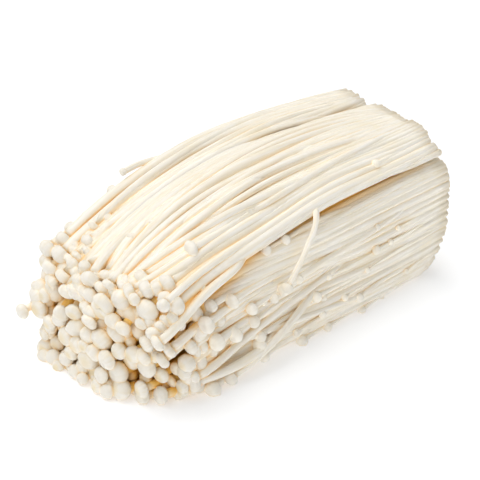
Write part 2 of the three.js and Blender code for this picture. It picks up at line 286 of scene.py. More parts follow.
# %% [markdown]
# ## Sections of a clump
# A clump's section is a polygon with round corners, whose sides move in and out along its length.
# `s` runs from 0 at the cut to 1 at the caps, and a place in the section is (u, v) on a disc.

# %% Section of a clump at a share of its length
def mix(a, b, t):
    return a + (b - a) * t


def side_distance(side, s):
    """How far a side of the section lies from the bunch's own axis."""
    return mix(side[1], side[2], s ** DROOP) + side[3] * 4 * s * (1 - s)


def section_middle(clump, s):
    """The middle of a clump's section."""
    t = s ** DROOP
    return mix(clump["cut"][0], clump["caps"][0], t), mix(clump["cut"][1], clump["caps"][1], t)


def section_reach(clump, s, angle):
    """How far a clump's section reaches from its middle in one direction."""
    y, z = section_middle(clump, s)
    total = 0
    for side in clump["outer"] + clump["cracks"]:
        facing = math.radians(side[0])
        gap = CRACK_GAP / 2 if side in clump["cracks"] else 0
        depth = side_distance(side, s) - y * math.cos(facing) - z * math.sin(facing) - gap
        total = total + np.maximum(0, np.cos(angle - facing) / depth) ** CORNER
    return total ** (-1 / CORNER)


def section_place(clump, s, u, v, inset):
    """A place in a section that has shrunk by an inset in mm."""
    y, z = section_middle(clump, s)
    angle = np.arctan2(v, u)
    reach = np.hypot(u, v) * (section_reach(clump, s, angle) - inset)
    return y + reach * np.cos(angle), z + reach * np.sin(angle)


def share(x):
    """How far along the bunch x lies, from 0 at the cut to 1 at the furthest caps."""
    return (CUT_X - x) / LENGTH


def cut_x(z):
    """Where the cut lies at a height: it tucks in at the table and leans back at the top."""
    tuck = CUT_TUCK * np.maximum(0, 1 - z / CUT_TUCK_HEIGHT) ** 2
    leaned = np.clip((z - CUT_LEAN_FROM) / (CUT_LEAN_FULL - CUT_LEAN_FROM), 0, 1)
    return CUT_X - tuck - CUT_LEAN * leaned


def crowd_x(clump, y, z):
    """Where a clump's furthest caps end: the crowd is set back at the front and at the top."""
    front = np.maximum(0, -y - CROWD_FRONT_FROM)
    height = np.maximum(0, z - CROWD_TOP_FROM)
    return CUT_X - LENGTH + clump["crowd"][0] * front ** 2 + clump["crowd"][1] * height ** 2


def stagger(clump, depth):
    """How far back something stands in a clump's crowd, where `depth` is for the loosest clump."""
    return depth * clump["crowd"][2] / LOOSE_CROWD


def core_share(s):
    """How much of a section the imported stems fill, as a share of its reach."""
    return float(np.interp(s, CORE_S, CORE_SHARE, left=1, right=0))


def rim_walk(clump, s, inset):
    """How long the rim of a section is, from direction 0 to each of RIM_STEPS directions."""
    angles = np.arange(RIM_STEPS + 1) / RIM_STEPS * math.tau
    y, z = section_place(clump, s, np.cos(angles), np.sin(angles), inset)
    return np.concatenate([[0], np.cumsum(np.hypot(np.diff(y), np.diff(z)))])


for name, clump in CLUMPS.items():
    print(name, "rim at the cut", round(rim_walk(clump, 0.0, 0)[-1]), "mm, at the caps",
          round(rim_walk(clump, CROWD_S, 0)[-1]), "mm")

# %% [markdown]
# ## A mushroom as a swept skin
# Rings of points are set along a path and joined: first the stem, then back under the cap, round
# its rolled rim and over the crown. Each point also keeps where it lies on its own mushroom, so
# that the flesh's fibres can run lengthwise whichever way the stem bends.

# %% Sweep rings into a skin
def skin(rings, fibre, crown, tone, hollow=0.0):
    """Joins rings of points in order and closes both ends; keeps the marks the materials read."""
    count, sides = rings.shape[:2]
    a = (np.arange(count - 1)[:, None] * sides + np.arange(sides)).ravel()
    b = (np.arange(count - 1)[:, None] * sides + (np.arange(sides) + 1) % sides).ravel()
    quads = np.stack([a, b, b + sides, a + sides], axis=1)
    first, last = rings[0].mean(axis=0), rings[-1].mean(axis=0)
    first = first + (rings[1].mean(axis=0) - first) * hollow
    points = np.concatenate([rings.reshape(-1, 3), [first, last]])
    near, far = count * sides, count * sides + 1
    ring = np.arange(sides)
    onward = (ring + 1) % sides
    top = (count - 1) * sides
    fans = np.concatenate([np.stack([onward, ring, np.full(sides, near)], axis=1),
                           np.stack([top + ring, top + onward, np.full(sides, far)], axis=1)])
    fibres = np.concatenate([fibre.reshape(-1, 3), [fibre[0].mean(axis=0), fibre[-1].mean(axis=0)]])
    crowns = np.concatenate([np.repeat(crown, sides), [crown[0], crown[-1]]])
    points[:, 2] = np.maximum(points[:, 2], 0)
    return dict(points=points, quads=quads, fans=fans, fibre=fibres, crown=crowns,
                tone=np.full(len(points), tone))


def frames_along(path):
    """Unit vectors along, across and over a path at each of its points."""
    along = np.gradient(path, axis=0)
    along /= np.linalg.norm(along, axis=1)[:, None]
    across = np.cross([0.0, 0.0, 1.0], along)
    across /= np.linalg.norm(across, axis=1)[:, None]
    return along, across, np.cross(along, across)


straight = np.array([(0.0, 0.0, 0.0), (1.0, 0.0, 0.0), (2.0, 0.0, 0.0)])
print("along, across and over a path on X:", *(axis[0] for axis in frames_along(straight)))

# %% [markdown]
# ## Caps
# An enoki cap is a button 5 to 8 mm wide, rolled under at its rim, often a little lobed and
# tilted, and some have a dimple. Its outline is a list of (ahead of the neck, radius), both for a
# cap of radius 1, and every cap gets its own lobes, tilt and dimple.

# %% Outline of a cap
BUTTON = np.array([(-0.34, 0.46), (-0.44, 0.60), (-0.38, 0.77), (-0.20, 0.92),
                   (0.04, 1.02), (0.30, 1.05), (0.55, 0.99), (0.76, 0.86),
                   (0.92, 0.67), (1.02, 0.46), (1.08, 0.26), (1.10, 0.10)])
TILT = 0.30
PINHEAD = 2.2  # mm; a smaller cap is rounder and has no dimple yet
CAP_TALL, PINHEAD_TALL = (0.72, 1.02), (0.92, 1.1)  # heights beside the outline's own
DIMPLE, DIMPLED_SHARE, DIMPLE_RADIUS = 0.24, 0.6, 0.6
CROWN_FROM = 0.6  # the dimple lies further ahead of the neck than this
LOBES, PUFF = 0.05, 0.035
print("cap outline:", len(BUTTON), "rings, from", BUTTON[:, 0].min(), "to", BUTTON[:, 0].max())


def cap_rings(neck, along, across, over, cap, sides, draw):
    """Rings of one cap on the neck of its stem, with its crown mark from 0 at the rim to 1."""
    angle = np.arange(sides) / sides * math.tau
    lobes = 1 + LOBES * (draw() - 0.2) * np.cos(2 * angle + draw() * math.tau)
    lobes = lobes + LOBES * draw() * np.cos(3 * angle + draw() * math.tau)
    tall = mix(*(CAP_TALL if cap > PINHEAD else PINHEAD_TALL), draw())
    dimple = DIMPLE * max(0.0, draw() - (1 - DIMPLED_SHARE)) / DIMPLED_SHARE * (cap > PINHEAD)
    lean = across * TILT * (draw() - 0.5) + over * TILT * (draw() - 0.5)
    along = (along + lean) / np.linalg.norm(along + lean)
    across = across - along * (across @ along)
    across /= np.linalg.norm(across)
    over = np.cross(along, across)
    dip = np.clip(1 - BUTTON[:, 1] / DIMPLE_RADIUS, 0, 1) * (BUTTON[:, 0] > CROWN_FROM)
    ahead = BUTTON[:, 0] * tall - dimple * dip
    puff = 1 + PUFF * np.sin(angle[None] * 4 + draw() * 9 + ahead[:, None] * 6) * draw()
    wide = BUTTON[:, 1, None] * lobes[None] * puff * cap
    spoke = np.cos(angle)[:, None] * across + np.sin(angle)[:, None] * over
    rings = neck + ahead[:, None, None] * cap * along + wide[..., None] * spoke[None]
    return rings, np.clip(BUTTON[:, 0] / BUTTON[-1, 0], 0, 1) ** 1.5


# %% [markdown]
# ## Stems
# A stem is a little oval, swells and thins along its length, and has shallow grooves. Its path is
# given as points, with a radius at each. A curve object with a bevel could make a smooth tube, but
# only swept rings take grooves and a cap in one skin.

# %% Sweep a stem, with or without a cap
GROOVE, OVAL, SWELL = 0.045, 0.07, 0.05  # shares of the radius
FIBRE_RADIUS = 1.5  # mm; round this the fibre pattern is wound
CUT_EDGE, CUT_BEVEL = 0.72, 0.12  # a cut end: its flat as a share of the radius, and its bevel in mm
print("a stem's grooves are up to", round(GROOVE * CAP_SMALL * STEM_PER_CAP, 3), "mm deep")


def sweep(path, radii, draw, sides=12, cap=0.0, tone=None, cut_end=False):
    """One mushroom: a grooved stem along the path and, if cap is over 0, a cap on its end."""
    along, across, over = frames_along(path)
    angle = np.arange(sides) / sides * math.tau
    grooves = 1 + GROOVE * (np.array([draw() for _ in range(sides)]) * 2 - 1)
    oval = 1 + OVAL * (draw() - 0.5) * np.cos(2 * (angle + draw() * math.pi))
    steps = np.arange(len(path))
    swell = 1 + SWELL * np.sin(steps * mix(0.5, 1.1, draw()) + draw() * math.tau)
    wide = (radii * swell)[:, None] * (grooves * oval)[None]
    spoke = np.cos(angle)[None, :, None] * across[:, None]
    spoke = spoke + np.sin(angle)[None, :, None] * over[:, None]
    rings = path[:, None] + wide[..., None] * spoke
    walked = np.concatenate([[0], np.cumsum(np.linalg.norm(np.diff(path, axis=0), axis=1))])
    crown = np.zeros(len(path))
    if cut_end:
        edge = path[0] + (rings[0] - path[0]) * CUT_EDGE
        rings = np.concatenate([edge[None], rings])
        rings[1] += along[0] * CUT_BEVEL
        walked = np.concatenate([[walked[0]], walked + 0.2])
        crown = np.concatenate([[0], crown])
    if cap > 0:
        button, mark = cap_rings(path[-1], along[-1], across[-1], over[-1], cap, sides, draw)
        rings = np.concatenate([rings, button])
        walked = np.concatenate([walked, walked[-1] + np.linspace(0.2, 1.6, len(button)) * cap])
        crown = np.concatenate([crown, 0.35 + 0.65 * mark])
    shift = draw() * 200
    fibre = np.stack(np.broadcast_arrays(shift + FIBRE_RADIUS * np.cos(angle)[None],
                                         FIBRE_RADIUS * np.sin(angle)[None], walked[:, None]), axis=-1)
    own_tone = mix(0.4, 1.0, draw()) if tone is None else tone
    return skin(rings, fibre, crown, own_tone, hollow=0.5 if cut_end else 0.0)


# %% [markdown]
# ## Where the large mushrooms stand
# In the crowd, an even row of caps stands round the rim of each clump and a loose honeycomb fills
# the inside. The draws come in the solid model's order, so both models grow the same mushrooms.

# %% Seats and plans of the large mushrooms
SHELTER, SHELTER_HEIGHT = 7.0, 12.0  # mm back, and the height below the top clump where it ends
SHELTER_FROM, SHELTER_WIDTH = 8, 25  # mm; it grows from the middle of the bunch to its front
LARGE_SHELTER = 0.6  # a large mushroom gets this share of it


def seats(clump, draw):
    """Where the large mushrooms stand in a clump's section, as (u, v)."""
    places = []
    walked = rim_walk(clump, CROWD_S, CAP_SMALL)
    count = round(walked[-1] / clump["pitch"])
    for k in range(count):
        goal = (k + RIM_STRAY * draw()) / count * walked[-1]
        step = int(np.argmax(walked > goal))
        part = (goal - walked[step - 1]) / (walked[step] - walked[step - 1])
        angle = (step - 1 + part) / RIM_STEPS * math.tau
        places.append((math.cos(angle), math.sin(angle)))
    rows = math.ceil(LENGTH / 2 / clump["pitch"])
    for row in range(-rows, rows + 1):
        for column in range(-rows, rows + 1):
            y = (column + (0.5 if row % 2 else 0)) * clump["pitch"] + (draw() - 0.5) * CAP_STRAY
            z = row * clump["pitch"] * ROW_STEP + (draw() - 0.5) * CAP_STRAY
            angle = math.atan2(z, y)
            rho = math.hypot(y, z) / (section_reach(clump, CROWD_S, angle) - CAP_SMALL)
            if rho < INNER_SHARE:
                places.append((rho * math.cos(angle), rho * math.sin(angle)))
    return places


def root_share(rho):
    """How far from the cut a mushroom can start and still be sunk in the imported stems."""
    s = ROOT_FURTHEST
    while s > ROOT_NEAREST and core_share(s) < rho + SUNK_DEPTH:
        s -= ROOT_STEP
    return s


def shelter(clump, y, z):
    """How far back a cap of the front clump grows under the top clump's edge, in mm."""
    if UNDER_TOP not in clump["cracks"]:
        return 0.0
    facing = math.radians(UNDER_TOP[0])
    below = side_distance(UNDER_TOP, CROWD_S) - y * math.cos(facing) - z * math.sin(facing)
    beside = min(1.0, max(0.0, (SHELTER_FROM - y) / SHELTER_WIDTH))
    return SHELTER * max(0.0, 1 - below / SHELTER_HEIGHT) * beside


def large_plans(clump, draw):
    """One plan for each large mushroom; the draws come in the solid model's order."""
    plans = []
    for tip in seats(clump, draw):
        out = math.hypot(*tip)
        cap = mix(CAP_SMALL, CAP_LARGE, draw())
        y, z = section_place(clump, CROWD_S, tip[0], tip[1], cap)
        sway = mix(SWAY_INNER, SWAY_RIM, out)
        root = [value * ROOT_DRAW_IN + (draw() - 0.5) * sway for value in tip]
        plans.append(dict(root=root, tip=tip, out=out, cap=cap, root_s=root_share(out),
                          tip_x=float(crowd_x(clump, y, z)) + clump["crowd"][2] * draw() ** CROWD_SKEW
                          + LARGE_SHELTER * shelter(clump, float(y), float(z)),
                          neck=min(STEM_NECK, cap * STEM_PER_CAP), inset=CAP_CLEAR * cap))
    return plans


def small_plans(clump, draw):
    """One plan for each small mushroom on the clump's side."""
    plans = []
    count, start, end = clump["small"]
    for i in range(count):
        along = ((i + draw()) / count) ** SMALL_SKEW
        angle = math.radians(mix(start, end, i * GOLDEN_SHARE % 1))
        tip_x = mix(SMALL_X_NEAR_CAPS, SMALL_X_NEAR_CUT, along)
        cap = mix(SMALL_CAP_NEAR_CAPS, SMALL_CAP_NEAR_CUT, along)
        plans.append(dict(angle=angle, tip_x=tip_x, cap=cap))
    return plans


for name, clump in CLUMPS.items():
    print(name, "has seats for", len(seats(clump, seeded(clump["seed"]))), "large mushrooms")

# %% [markdown]
# ## Mushrooms that fill the crowd
# A real crowd has no empty places: between each two rim mushrooms stands a lower one, and thinner
# ones fill the honeycomb from behind. Their caps lie deeper, where the large ones leave room.

# %% Plans of the mushrooms that fill the crowd
MEDIUM_CAP, FILLER_CAP = (2.0, 3.0), (2.0, 2.9)
MEDIUM_BACK, FILLER_BACK = (1.2, 10.0), (2.2, 9.5)
FILLER_PITCH = 6.0
TIGHT_CROWD = 10.0  # mm; in a crowd less deep than this, only every second one finds room
FORWARD = 0.85  # these stand further forward than the large ones at the front and the top
CLEAR, CLEAR_AT_CRACK = (1.0, 1.3), (0.45, 0.8)  # how far they stay inside, for their radius
SLIM = 0.52  # their stem's radius, for their cap's
FILLED_SHARE = 0.9  # the fillers stand in this share of a section
print("fillers every", FILLER_PITCH, "mm, up to", FILLER_BACK[1], "mm behind the foremost caps")


def faces_crack(clump, angle):
    """True where a clump's section is bounded by a crack at the crowd."""
    y, z = section_middle(clump, CROWD_S)
    push = []
    for side in clump["outer"] + clump["cracks"]:
        facing = math.radians(side[0])
        depth = side_distance(side, CROWD_S) - y * math.cos(facing) - z * math.sin(facing)
        push.append(math.cos(angle - facing) / depth)
    return push.index(max(push)) >= len(clump["outer"])


def crowd_plan(clump, tip, caps, back_off, deep, draw):
    """The plan of one mushroom that stands back in the crowd, and nearer to a crack beside it."""
    cap = mix(*caps, draw())
    out = math.hypot(*tip)
    y, z = section_place(clump, CROWD_S, tip[0], tip[1], cap)
    foremost = CUT_X - LENGTH
    line = foremost + FORWARD * (float(crowd_x(clump, y, z)) - foremost)
    line = line + shelter(clump, float(y), float(z))
    at_crack = faces_crack(clump, math.atan2(tip[1], tip[0]))
    clear = mix(*(CLEAR_AT_CRACK if at_crack else CLEAR), draw())
    return dict(root=[value * ROOT_DRAW_IN for value in tip], tip=tip, out=out, cap=cap, deep=deep,
                root_s=root_share(out), tip_x=line + stagger(clump, mix(*back_off, draw() ** 1.4)),
                neck=cap * SLIM, inset=clear * cap + deep)


def thinned(clump, plans):
    """Every second plan only, where a clump's crowd is tight."""
    return plans[::2] if clump["crowd"][2] < TIGHT_CROWD else plans


def medium_plans(clump, plans, draw):
    """One plan between each two neighbours on the rim."""
    on_rim = [p["tip"] for p in plans if p["out"] > INNER_SHARE]
    turns = sorted(math.atan2(v, u) % math.tau for u, v in on_rim)
    made = []
    for here, after in zip(turns, turns[1:] + [turns[0] + math.tau]):
        angle = mix(here, after, mix(0.38, 0.62, draw()))
        tip = (math.cos(angle), math.sin(angle))
        made.append(crowd_plan(clump, tip, MEDIUM_CAP, MEDIUM_BACK, 0.6 * draw(), draw))
    return thinned(clump, made)


def filler_plans(clump, draw):
    """Plans on a loose honeycomb of their own."""
    made = []
    rows = math.ceil(LENGTH / 2 / FILLER_PITCH)
    for row in range(-rows, rows + 1):
        for column in range(-rows, rows + 1):
            y = (column + (0 if row % 2 else 0.5)) * FILLER_PITCH + (draw() - 0.5) * CAP_STRAY
            z = (row + 0.4) * FILLER_PITCH * ROW_STEP + (draw() - 0.5) * CAP_STRAY
            angle = math.atan2(z, y)
            rho = math.hypot(y, z) / (float(section_reach(clump, CROWD_S, angle)) - CAP_SMALL)
            if rho < FILLED_SHARE:
                tip = (rho * math.cos(angle), rho * math.sin(angle))
                made.append(crowd_plan(clump, tip, FILLER_CAP, FILLER_BACK, 0.0, draw))
    return thinned(clump, made)


# %% [markdown]
# ## Growing the large mushrooms
# A rim mushroom runs the whole way from the cut: thin where the stems are packed, thicker towards
# its cap. One from inside shows only near the crowd, so it starts just inside the core. First the
# caps are pushed apart where they press too far into each other. A rigid body simulation could do
# that too, but a few rounds of pushing are quicker and come out the same each time.

# %% Settle the caps of the crowd
CAP_FIT = 1.02  # a cap's size beside the plain one's
CAP_MIDDLE = 0.6  # how far a cap's middle is behind its tip, in radii
PRESSED = 0.9  # caps nearer than this share of their radii's sum push each other apart
PUSH, PUSHES = 0.25, 60  # share of what they lack that one round gives, and the rounds
LARGE_SLACK, MEDIUM_SLACK = 1.3, 5.0  # mm that a cap may be pushed


def settle_caps(crowd):
    """Pushes caps apart that press too far into each other; `crowd` is a list of (clump, plan)."""
    caps = np.array([plan["cap"] for _, plan in crowd])
    slack = np.array([MEDIUM_SLACK if "deep" in plan else LARGE_SLACK for _, plan in crowd])
    places = []
    for clump, plan in crowd:
        s = share(plan["tip_x"] + CAP_LENGTH * plan["cap"])
        y, z = section_place(clump, s, *plan["tip"], plan["inset"])
        places.append((plan["tip_x"] + CAP_MIDDLE * plan["cap"], y, z))
    places = np.array(places)
    low, high = (np.array(cad_low) / MM - AXIS)[None], (np.array(cad_high) / MM - AXIS)[None]
    moved = places.copy()
    for _ in range(PUSHES):
        apart = moved[:, None] - moved[None]
        distance = np.linalg.norm(apart, axis=2) + 1e-6
        lack = np.clip(PRESSED * CAP_FIT * (caps[:, None] + caps[None]) - distance, 0, None)
        np.fill_diagonal(lack, 0)
        moved += PUSH * (apart / distance[..., None] * lack[..., None]).sum(axis=1)
        moved = np.clip(moved, low + caps[:, None] * CAP_FIT, high - caps[:, None] * CAP_FIT)
        step = moved - places
        length = np.linalg.norm(step, axis=1) + 1e-6
        moved = places + step * np.minimum(1, slack / length)[:, None]
    for (_, plan), step in zip(crowd, moved - places):
        plan["shift"] = step
    furthest = float(np.linalg.norm(moved - places, axis=1).max())
    print(len(crowd), "caps settled, the furthest by", round(furthest, 1), "mm")


print("caps part until they are", PRESSED, "of their radii's sum away from each other")

# %% Grow the large mushrooms of a clump
STEM_AT_CUT = 1.05
STEM_PLUMP = 1.2  # how much fuller a stem is than in the solid model
THICKEN, NECK_WAIST = 0.55, 0.1  # the lower, the sooner it thickens; how much its neck thins
WANDER, OWN_WANDER = 1.1, 0.6  # mm of drift sideways, with its neighbours and by itself
BACK_IN_PLACE = 0.95  # from this share of the length on, no stem drifts
DIVE = 0.7  # mm; how much deeper some lie
LARGE_STEPS, INNER_STEPS = 22, 10
LARGE_SIDES, INNER_SIDES = 14, 12
ON_RIM = 0.97  # mushrooms further out than this run the whole way from the cut
HIDDEN_START = 0.06  # the others start this share of the length inside the core


def wander(clump, angle, s):
    """Stems drift sideways together in bundles, in mm, and are back in place at both ends."""
    phase = clump["seed"]
    drift = np.sin(angle * 2 + s * 7 + phase) + 0.4 * np.sin(angle * 5 - s * 11 + 2 * phase)
    return WANDER * drift * np.sin(math.pi * np.clip(s / BACK_IN_PLACE, 0, 1)) ** 2


def lip(clump, angle):
    """How far stems stand out where two clumps meet, in mm: they fill the corner of the section."""
    middle, width, proud = clump["lip"]
    turn = (np.degrees(angle) - middle + 180) % 360 - 180
    return proud * np.clip(1 - np.abs(turn) / width, 0, 1)


def trim_at_cut(clump, path, grown, draw):
    """Brings the start of a stem to the cut, a little unevenly, as the knife left it."""
    uneven = clump["fray"] * draw() ** 2
    path[:, 0] -= (CUT_X - cut_x(path[0, 2]) + uneven) * (1 - grown) ** 6


def grow_large(clump, plan, draw):
    """A mushroom from the cut or the core to its cap; `grown` is 0 at its start and 1 at its neck."""
    neck_s = share(plan["tip_x"] + CAP_LENGTH * plan["cap"])
    rim = plan["out"] > ON_RIM
    start = 0.0 if rim else plan["root_s"] - HIDDEN_START
    steps = LARGE_STEPS if rim else INNER_STEPS
    s = mix(start, neck_s, 1 - (1 - np.linspace(0, 1, steps)) ** 1.25)
    lean = (s / neck_s) ** 2
    u = mix(plan["root"][0], plan["tip"][0], lean)
    v = mix(plan["root"][1], plan["tip"][1], lean)
    if rim:
        length = np.hypot(u, v)
        u, v = u / length * mix(1, length, lean), v / length * mix(1, length, lean)
    grown = np.clip(s / neck_s, 0, 1)
    radii = mix(STEM_AT_CUT, plan["neck"] * STEM_PLUMP, grown ** THICKEN)
    radii = radii * (1 - NECK_WAIST * grown ** 12)
    t = np.clip((s - plan["root_s"]) / (neck_s - plan["root_s"]), 0, 1)
    settle = t ** CAP_SETTLE
    under = (DIVE * draw() + plan.get("deep", 0)) * np.clip(grown * 4, 0, 1)
    angle = np.arctan2(v, u)
    inset = mix(radii + under - lip(clump, angle) * (1 - grown ** 2), plan["inset"], settle)
    y, z = section_place(clump, s, u, v, inset)
    own = OWN_WANDER * (draw() * 2 - 1) * np.sin(draw() * math.tau + grown * mix(4, 10, draw()))
    sideways = wander(clump, angle, s) + own * np.sin(math.pi * grown)
    y, z = y - np.sin(angle) * sideways, z + np.cos(angle) * sideways
    x = CUT_X - LENGTH * s
    path = np.stack([x, y, z], axis=1) + plan["shift"] * (grown ** 3)[:, None]
    if rim:
        trim_at_cut(clump, path, grown, draw)
    return sweep(path, radii, draw, sides=LARGE_SIDES if rim else INNER_SIDES,
                 cap=plan["cap"] * CAP_FIT, cut_end=rim)


print("a rim stem is", 2 * STEM_AT_CUT, "mm thick at the cut, up to",
      round(2 * STEM_NECK * STEM_PLUMP * (1 - NECK_WAIST), 1), "mm at its neck")

# %% [markdown]
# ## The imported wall
# Between the rim's large stems, thin ones stand side by side: near the cut they make a finely
# ridged wall with a ridge every millimetre and a half. Towards the caps they dive under the large
# stems and end in caps of their own, behind the crowd.

# %% Grow the thin stems of a clump's wall
WALL_PITCH = 1.45
WALL_RADIUS = (0.95, 1.2)
WALL_CLEAR = 0.95  # mm of the rim beside a large stem that holds no thin one
WALL_END = (0.5, 0.9)  # shares of the length where they end
WALL_CAP = (1.5, 2.7)  # cap radius of the ones that end nearest and furthest
WALL_NECK, WALL_NECK_LEAST = 0.5, 0.8  # share of the cap's radius, and the least radius
WALL_UNEVEN, WALL_WANDER = 0.2, 0.5  # mm in and out, and sideways
WALL_DIVE, DIVE_FROM = (0.5, 3.2), 0.2  # mm that their ends lie deeper, and where that starts
WALL_STEPS, WALL_SIDES = 16, 8
TIGHT_DIVE = 0.8  # mm; how much deeper they end where a clump's tips end close together


def toward(angle, s):
    """(u, v) on the rim in one direction, at each s."""
    return np.cos(angle) * np.ones_like(s), np.sin(angle) * np.ones_like(s)


def wall_angles(clump, plans, draw):
    """Directions of the thin stems near the cut, which leave room for the large ones."""
    walked = rim_walk(clump, 0.1, 1.0)
    turn = np.arange(RIM_STEPS + 1) / RIM_STEPS * math.tau
    taken = [np.interp(math.atan2(p["root"][1], p["root"][0]) % math.tau, turn, walked)
             for p in plans if p["out"] > INNER_SHARE]
    count = round(walked[-1] / WALL_PITCH)
    angles = []
    for k in range(count):
        spot = (k + 0.35 * draw()) / count * walked[-1]
        nearest = min(min(abs(spot - other), walked[-1] - abs(spot - other)) for other in taken)
        if nearest > WALL_CLEAR:
            angles.append(float(np.interp(spot, walked, turn)))
    return angles


def grow_wall_stem(clump, angle, draw):
    """A thin stem that dives under the large ones and ends in a small cap."""
    neck_s = mix(*WALL_END, draw() ** 0.6)
    cap = mix(*WALL_CAP, (neck_s - WALL_END[0]) / (WALL_END[1] - WALL_END[0]))
    cap = cap * mix(0.85, 1.1, draw())
    neck = max(WALL_NECK_LEAST, cap * WALL_NECK)
    s = mix(0.0, neck_s, 1 - (1 - np.linspace(0, 1, WALL_STEPS)) ** 1.15)
    grown = s / neck_s
    radii = mix(mix(*WALL_RADIUS, draw()), neck, grown ** 1.4)
    dive = mix(*WALL_DIVE, draw()) + TIGHT_DIVE - stagger(clump, TIGHT_DIVE)
    inset = radii + WALL_UNEVEN * draw() - lip(clump, angle) * (1 - grown)
    deeper = np.clip((s - DIVE_FROM) / (neck_s - DIVE_FROM), 0, 1) ** 1.5
    inset = inset + dive * deeper + (cap - neck) * grown ** 10
    y, z = section_place(clump, s, *toward(angle, s), inset)
    free = np.sin(math.pi * np.clip(grown, 0, 1))
    own = WALL_WANDER * (draw() * 2 - 1) * free * np.sin(draw() * 6 + grown * mix(3, 9, draw()))
    sideways = wander(clump, angle, s) + own
    y, z = y - math.sin(angle) * sideways, z + math.cos(angle) * sideways
    path = np.stack([CUT_X - LENGTH * s, y, z], axis=1)
    trim_at_cut(clump, path, grown, draw)
    return sweep(path, radii, draw, sides=WALL_SIDES, cap=cap, cut_end=True)


print("thin stems stand every", WALL_PITCH, "mm round the rim")

# %% [markdown]
# ## The layer under the rim
# Right behind the rim mushrooms stand others, one every three millimetres. They lie a little
# deeper, show in each gap between their neighbours, and end just behind the crowd.

# %% Grow the layer under the rim
LAYER_PITCH, LAYER_STEPS, LAYER_SIDES = 3.0, 12, 10
LAYER_START, LAYER_BACK, LAYER_DEPTH = 0.3, (2.5, 9.0), (1.2, 2.8)
LAYER_CAP, LAYER_ROOT = (2.0, 2.8), 1.05
LAYER_NECK = 0.58  # share of the cap's radius
LAYER_INSIDE = 4.0  # mm inside the rim, where the crowd that they end behind is measured
LAYER_WANDER = 0.5
print("the layer lies", LAYER_DEPTH[0], "to", LAYER_DEPTH[1], "mm deep")


def layer_angles(clump, draw):
    """Directions of the layer's mushrooms."""
    walked = rim_walk(clump, 0.8, 1.0)
    count = round(walked[-1] / LAYER_PITCH)
    turn = np.arange(RIM_STEPS + 1) / RIM_STEPS * math.tau
    spots = [(k + 0.5 * draw()) / count * walked[-1] for k in range(count)]
    return [float(np.interp(spot, walked, turn)) for spot in spots]


def grow_layer_stem(clump, angle, draw):
    """A mushroom of the layer; it starts hidden, well away from the cut."""
    y, z = section_place(clump, CROWD_S, math.cos(angle), math.sin(angle), LAYER_INSIDE)
    tip_x = float(crowd_x(clump, y, z)) + mix(*LAYER_BACK, draw())
    neck_s = share(tip_x + shelter(clump, float(y), float(z)))
    cap = mix(*LAYER_CAP, draw())
    s = mix(LAYER_START, neck_s, 1 - (1 - np.linspace(0, 1, LAYER_STEPS)) ** 1.2)
    grown = (s - LAYER_START) / (neck_s - LAYER_START)
    radii = mix(LAYER_ROOT, cap * LAYER_NECK, grown)
    inset = radii + mix(*LAYER_DEPTH, draw()) + (cap - radii) * grown ** 8
    y, z = section_place(clump, s, *toward(angle, s), inset)
    own = LAYER_WANDER * (draw() * 2 - 1) * np.sin(draw() * 6 + grown * mix(3, 8, draw()))
    sideways = wander(clump, angle, s) + own
    y, z = y - math.sin(angle) * sideways, z + math.cos(angle) * sideways
    path = np.stack([CUT_X - LENGTH * s, y, z], axis=1)
    return sweep(path, radii, draw, sides=LAYER_SIDES, cap=cap)


# %% [markdown]
# ## Stems over the cracks
# Where two clumps meet, a few loose stems have slipped into the crack and hide most of it. Each
# lies at a given depth under one side of the bunch, and at a given distance from the crack.

# %% Grow the stems that lie over the cracks
BRIDGE_STEPS = 20
BRIDGE_START, BRIDGE_NECK = 1.1, (1.5, 1.9)  # radius at its start and at its cap
BRIDGE_CAP = 1.7  # for its neck's radius
BRIDGE_MIDDLE = 1.2  # mm; its depth is given for a stem of this radius
BRIDGE_WANDER = 0.8
BRIDGE_TUCK = (4.5, 2.4)  # mm that a bridge's start and end dive in
# Each: its side and crack, mm beside the crack and below the side, where it starts and ends.
BRIDGES = {
    "front_clump": [(BACK, UNDER_BACK, -1.8, 1.8, 0.12, 0.9), (BACK, UNDER_BACK, -4.0, 6.0, 0.5, 0.93),
                    (BACK, UNDER_BACK, -8.0, 9.0, 0.5, 0.94), (FRONT, UNDER_TOP, -5.0, 9.5, 0.45, 0.93),
                    (FRONT, UNDER_TOP, -9.0, 3.0, 0.5, 0.9), (FRONT, UNDER_TOP, -12.0, 5.0, 0.5, 0.91),
                    (FRONT, UNDER_TOP, -10.0, 11.0, 0.5, 0.93)],
    "top_clump": [(TOP, BEHIND_TOP, -3.6, 1.9, 0.10, 0.95), (TOP, BEHIND_TOP, -1.3, 2.2, 0.16, 0.92),
                  (TOP, BEHIND_TOP, 0.3, 2.4, 0.3, 0.97), (TOP, BEHIND_TOP, -2.6, 2.6, 0.4, 0.96),
                  (TOP, BEHIND_TOP, -6.0, 2.4, 0.45, 0.95), (FRONT, UNDER_TOP, 1.6, 1.6, 0.66, 0.95)],
    "back_clump": [(TOP, BEHIND_TOP, 2.0, 2.0, 0.08, 0.93), (TOP, BEHIND_TOP, 4.4, 1.9, 0.12, 0.95),
                   (BACK, UNDER_BACK, 1.0, 1.9, 0.1, 0.88)],
}


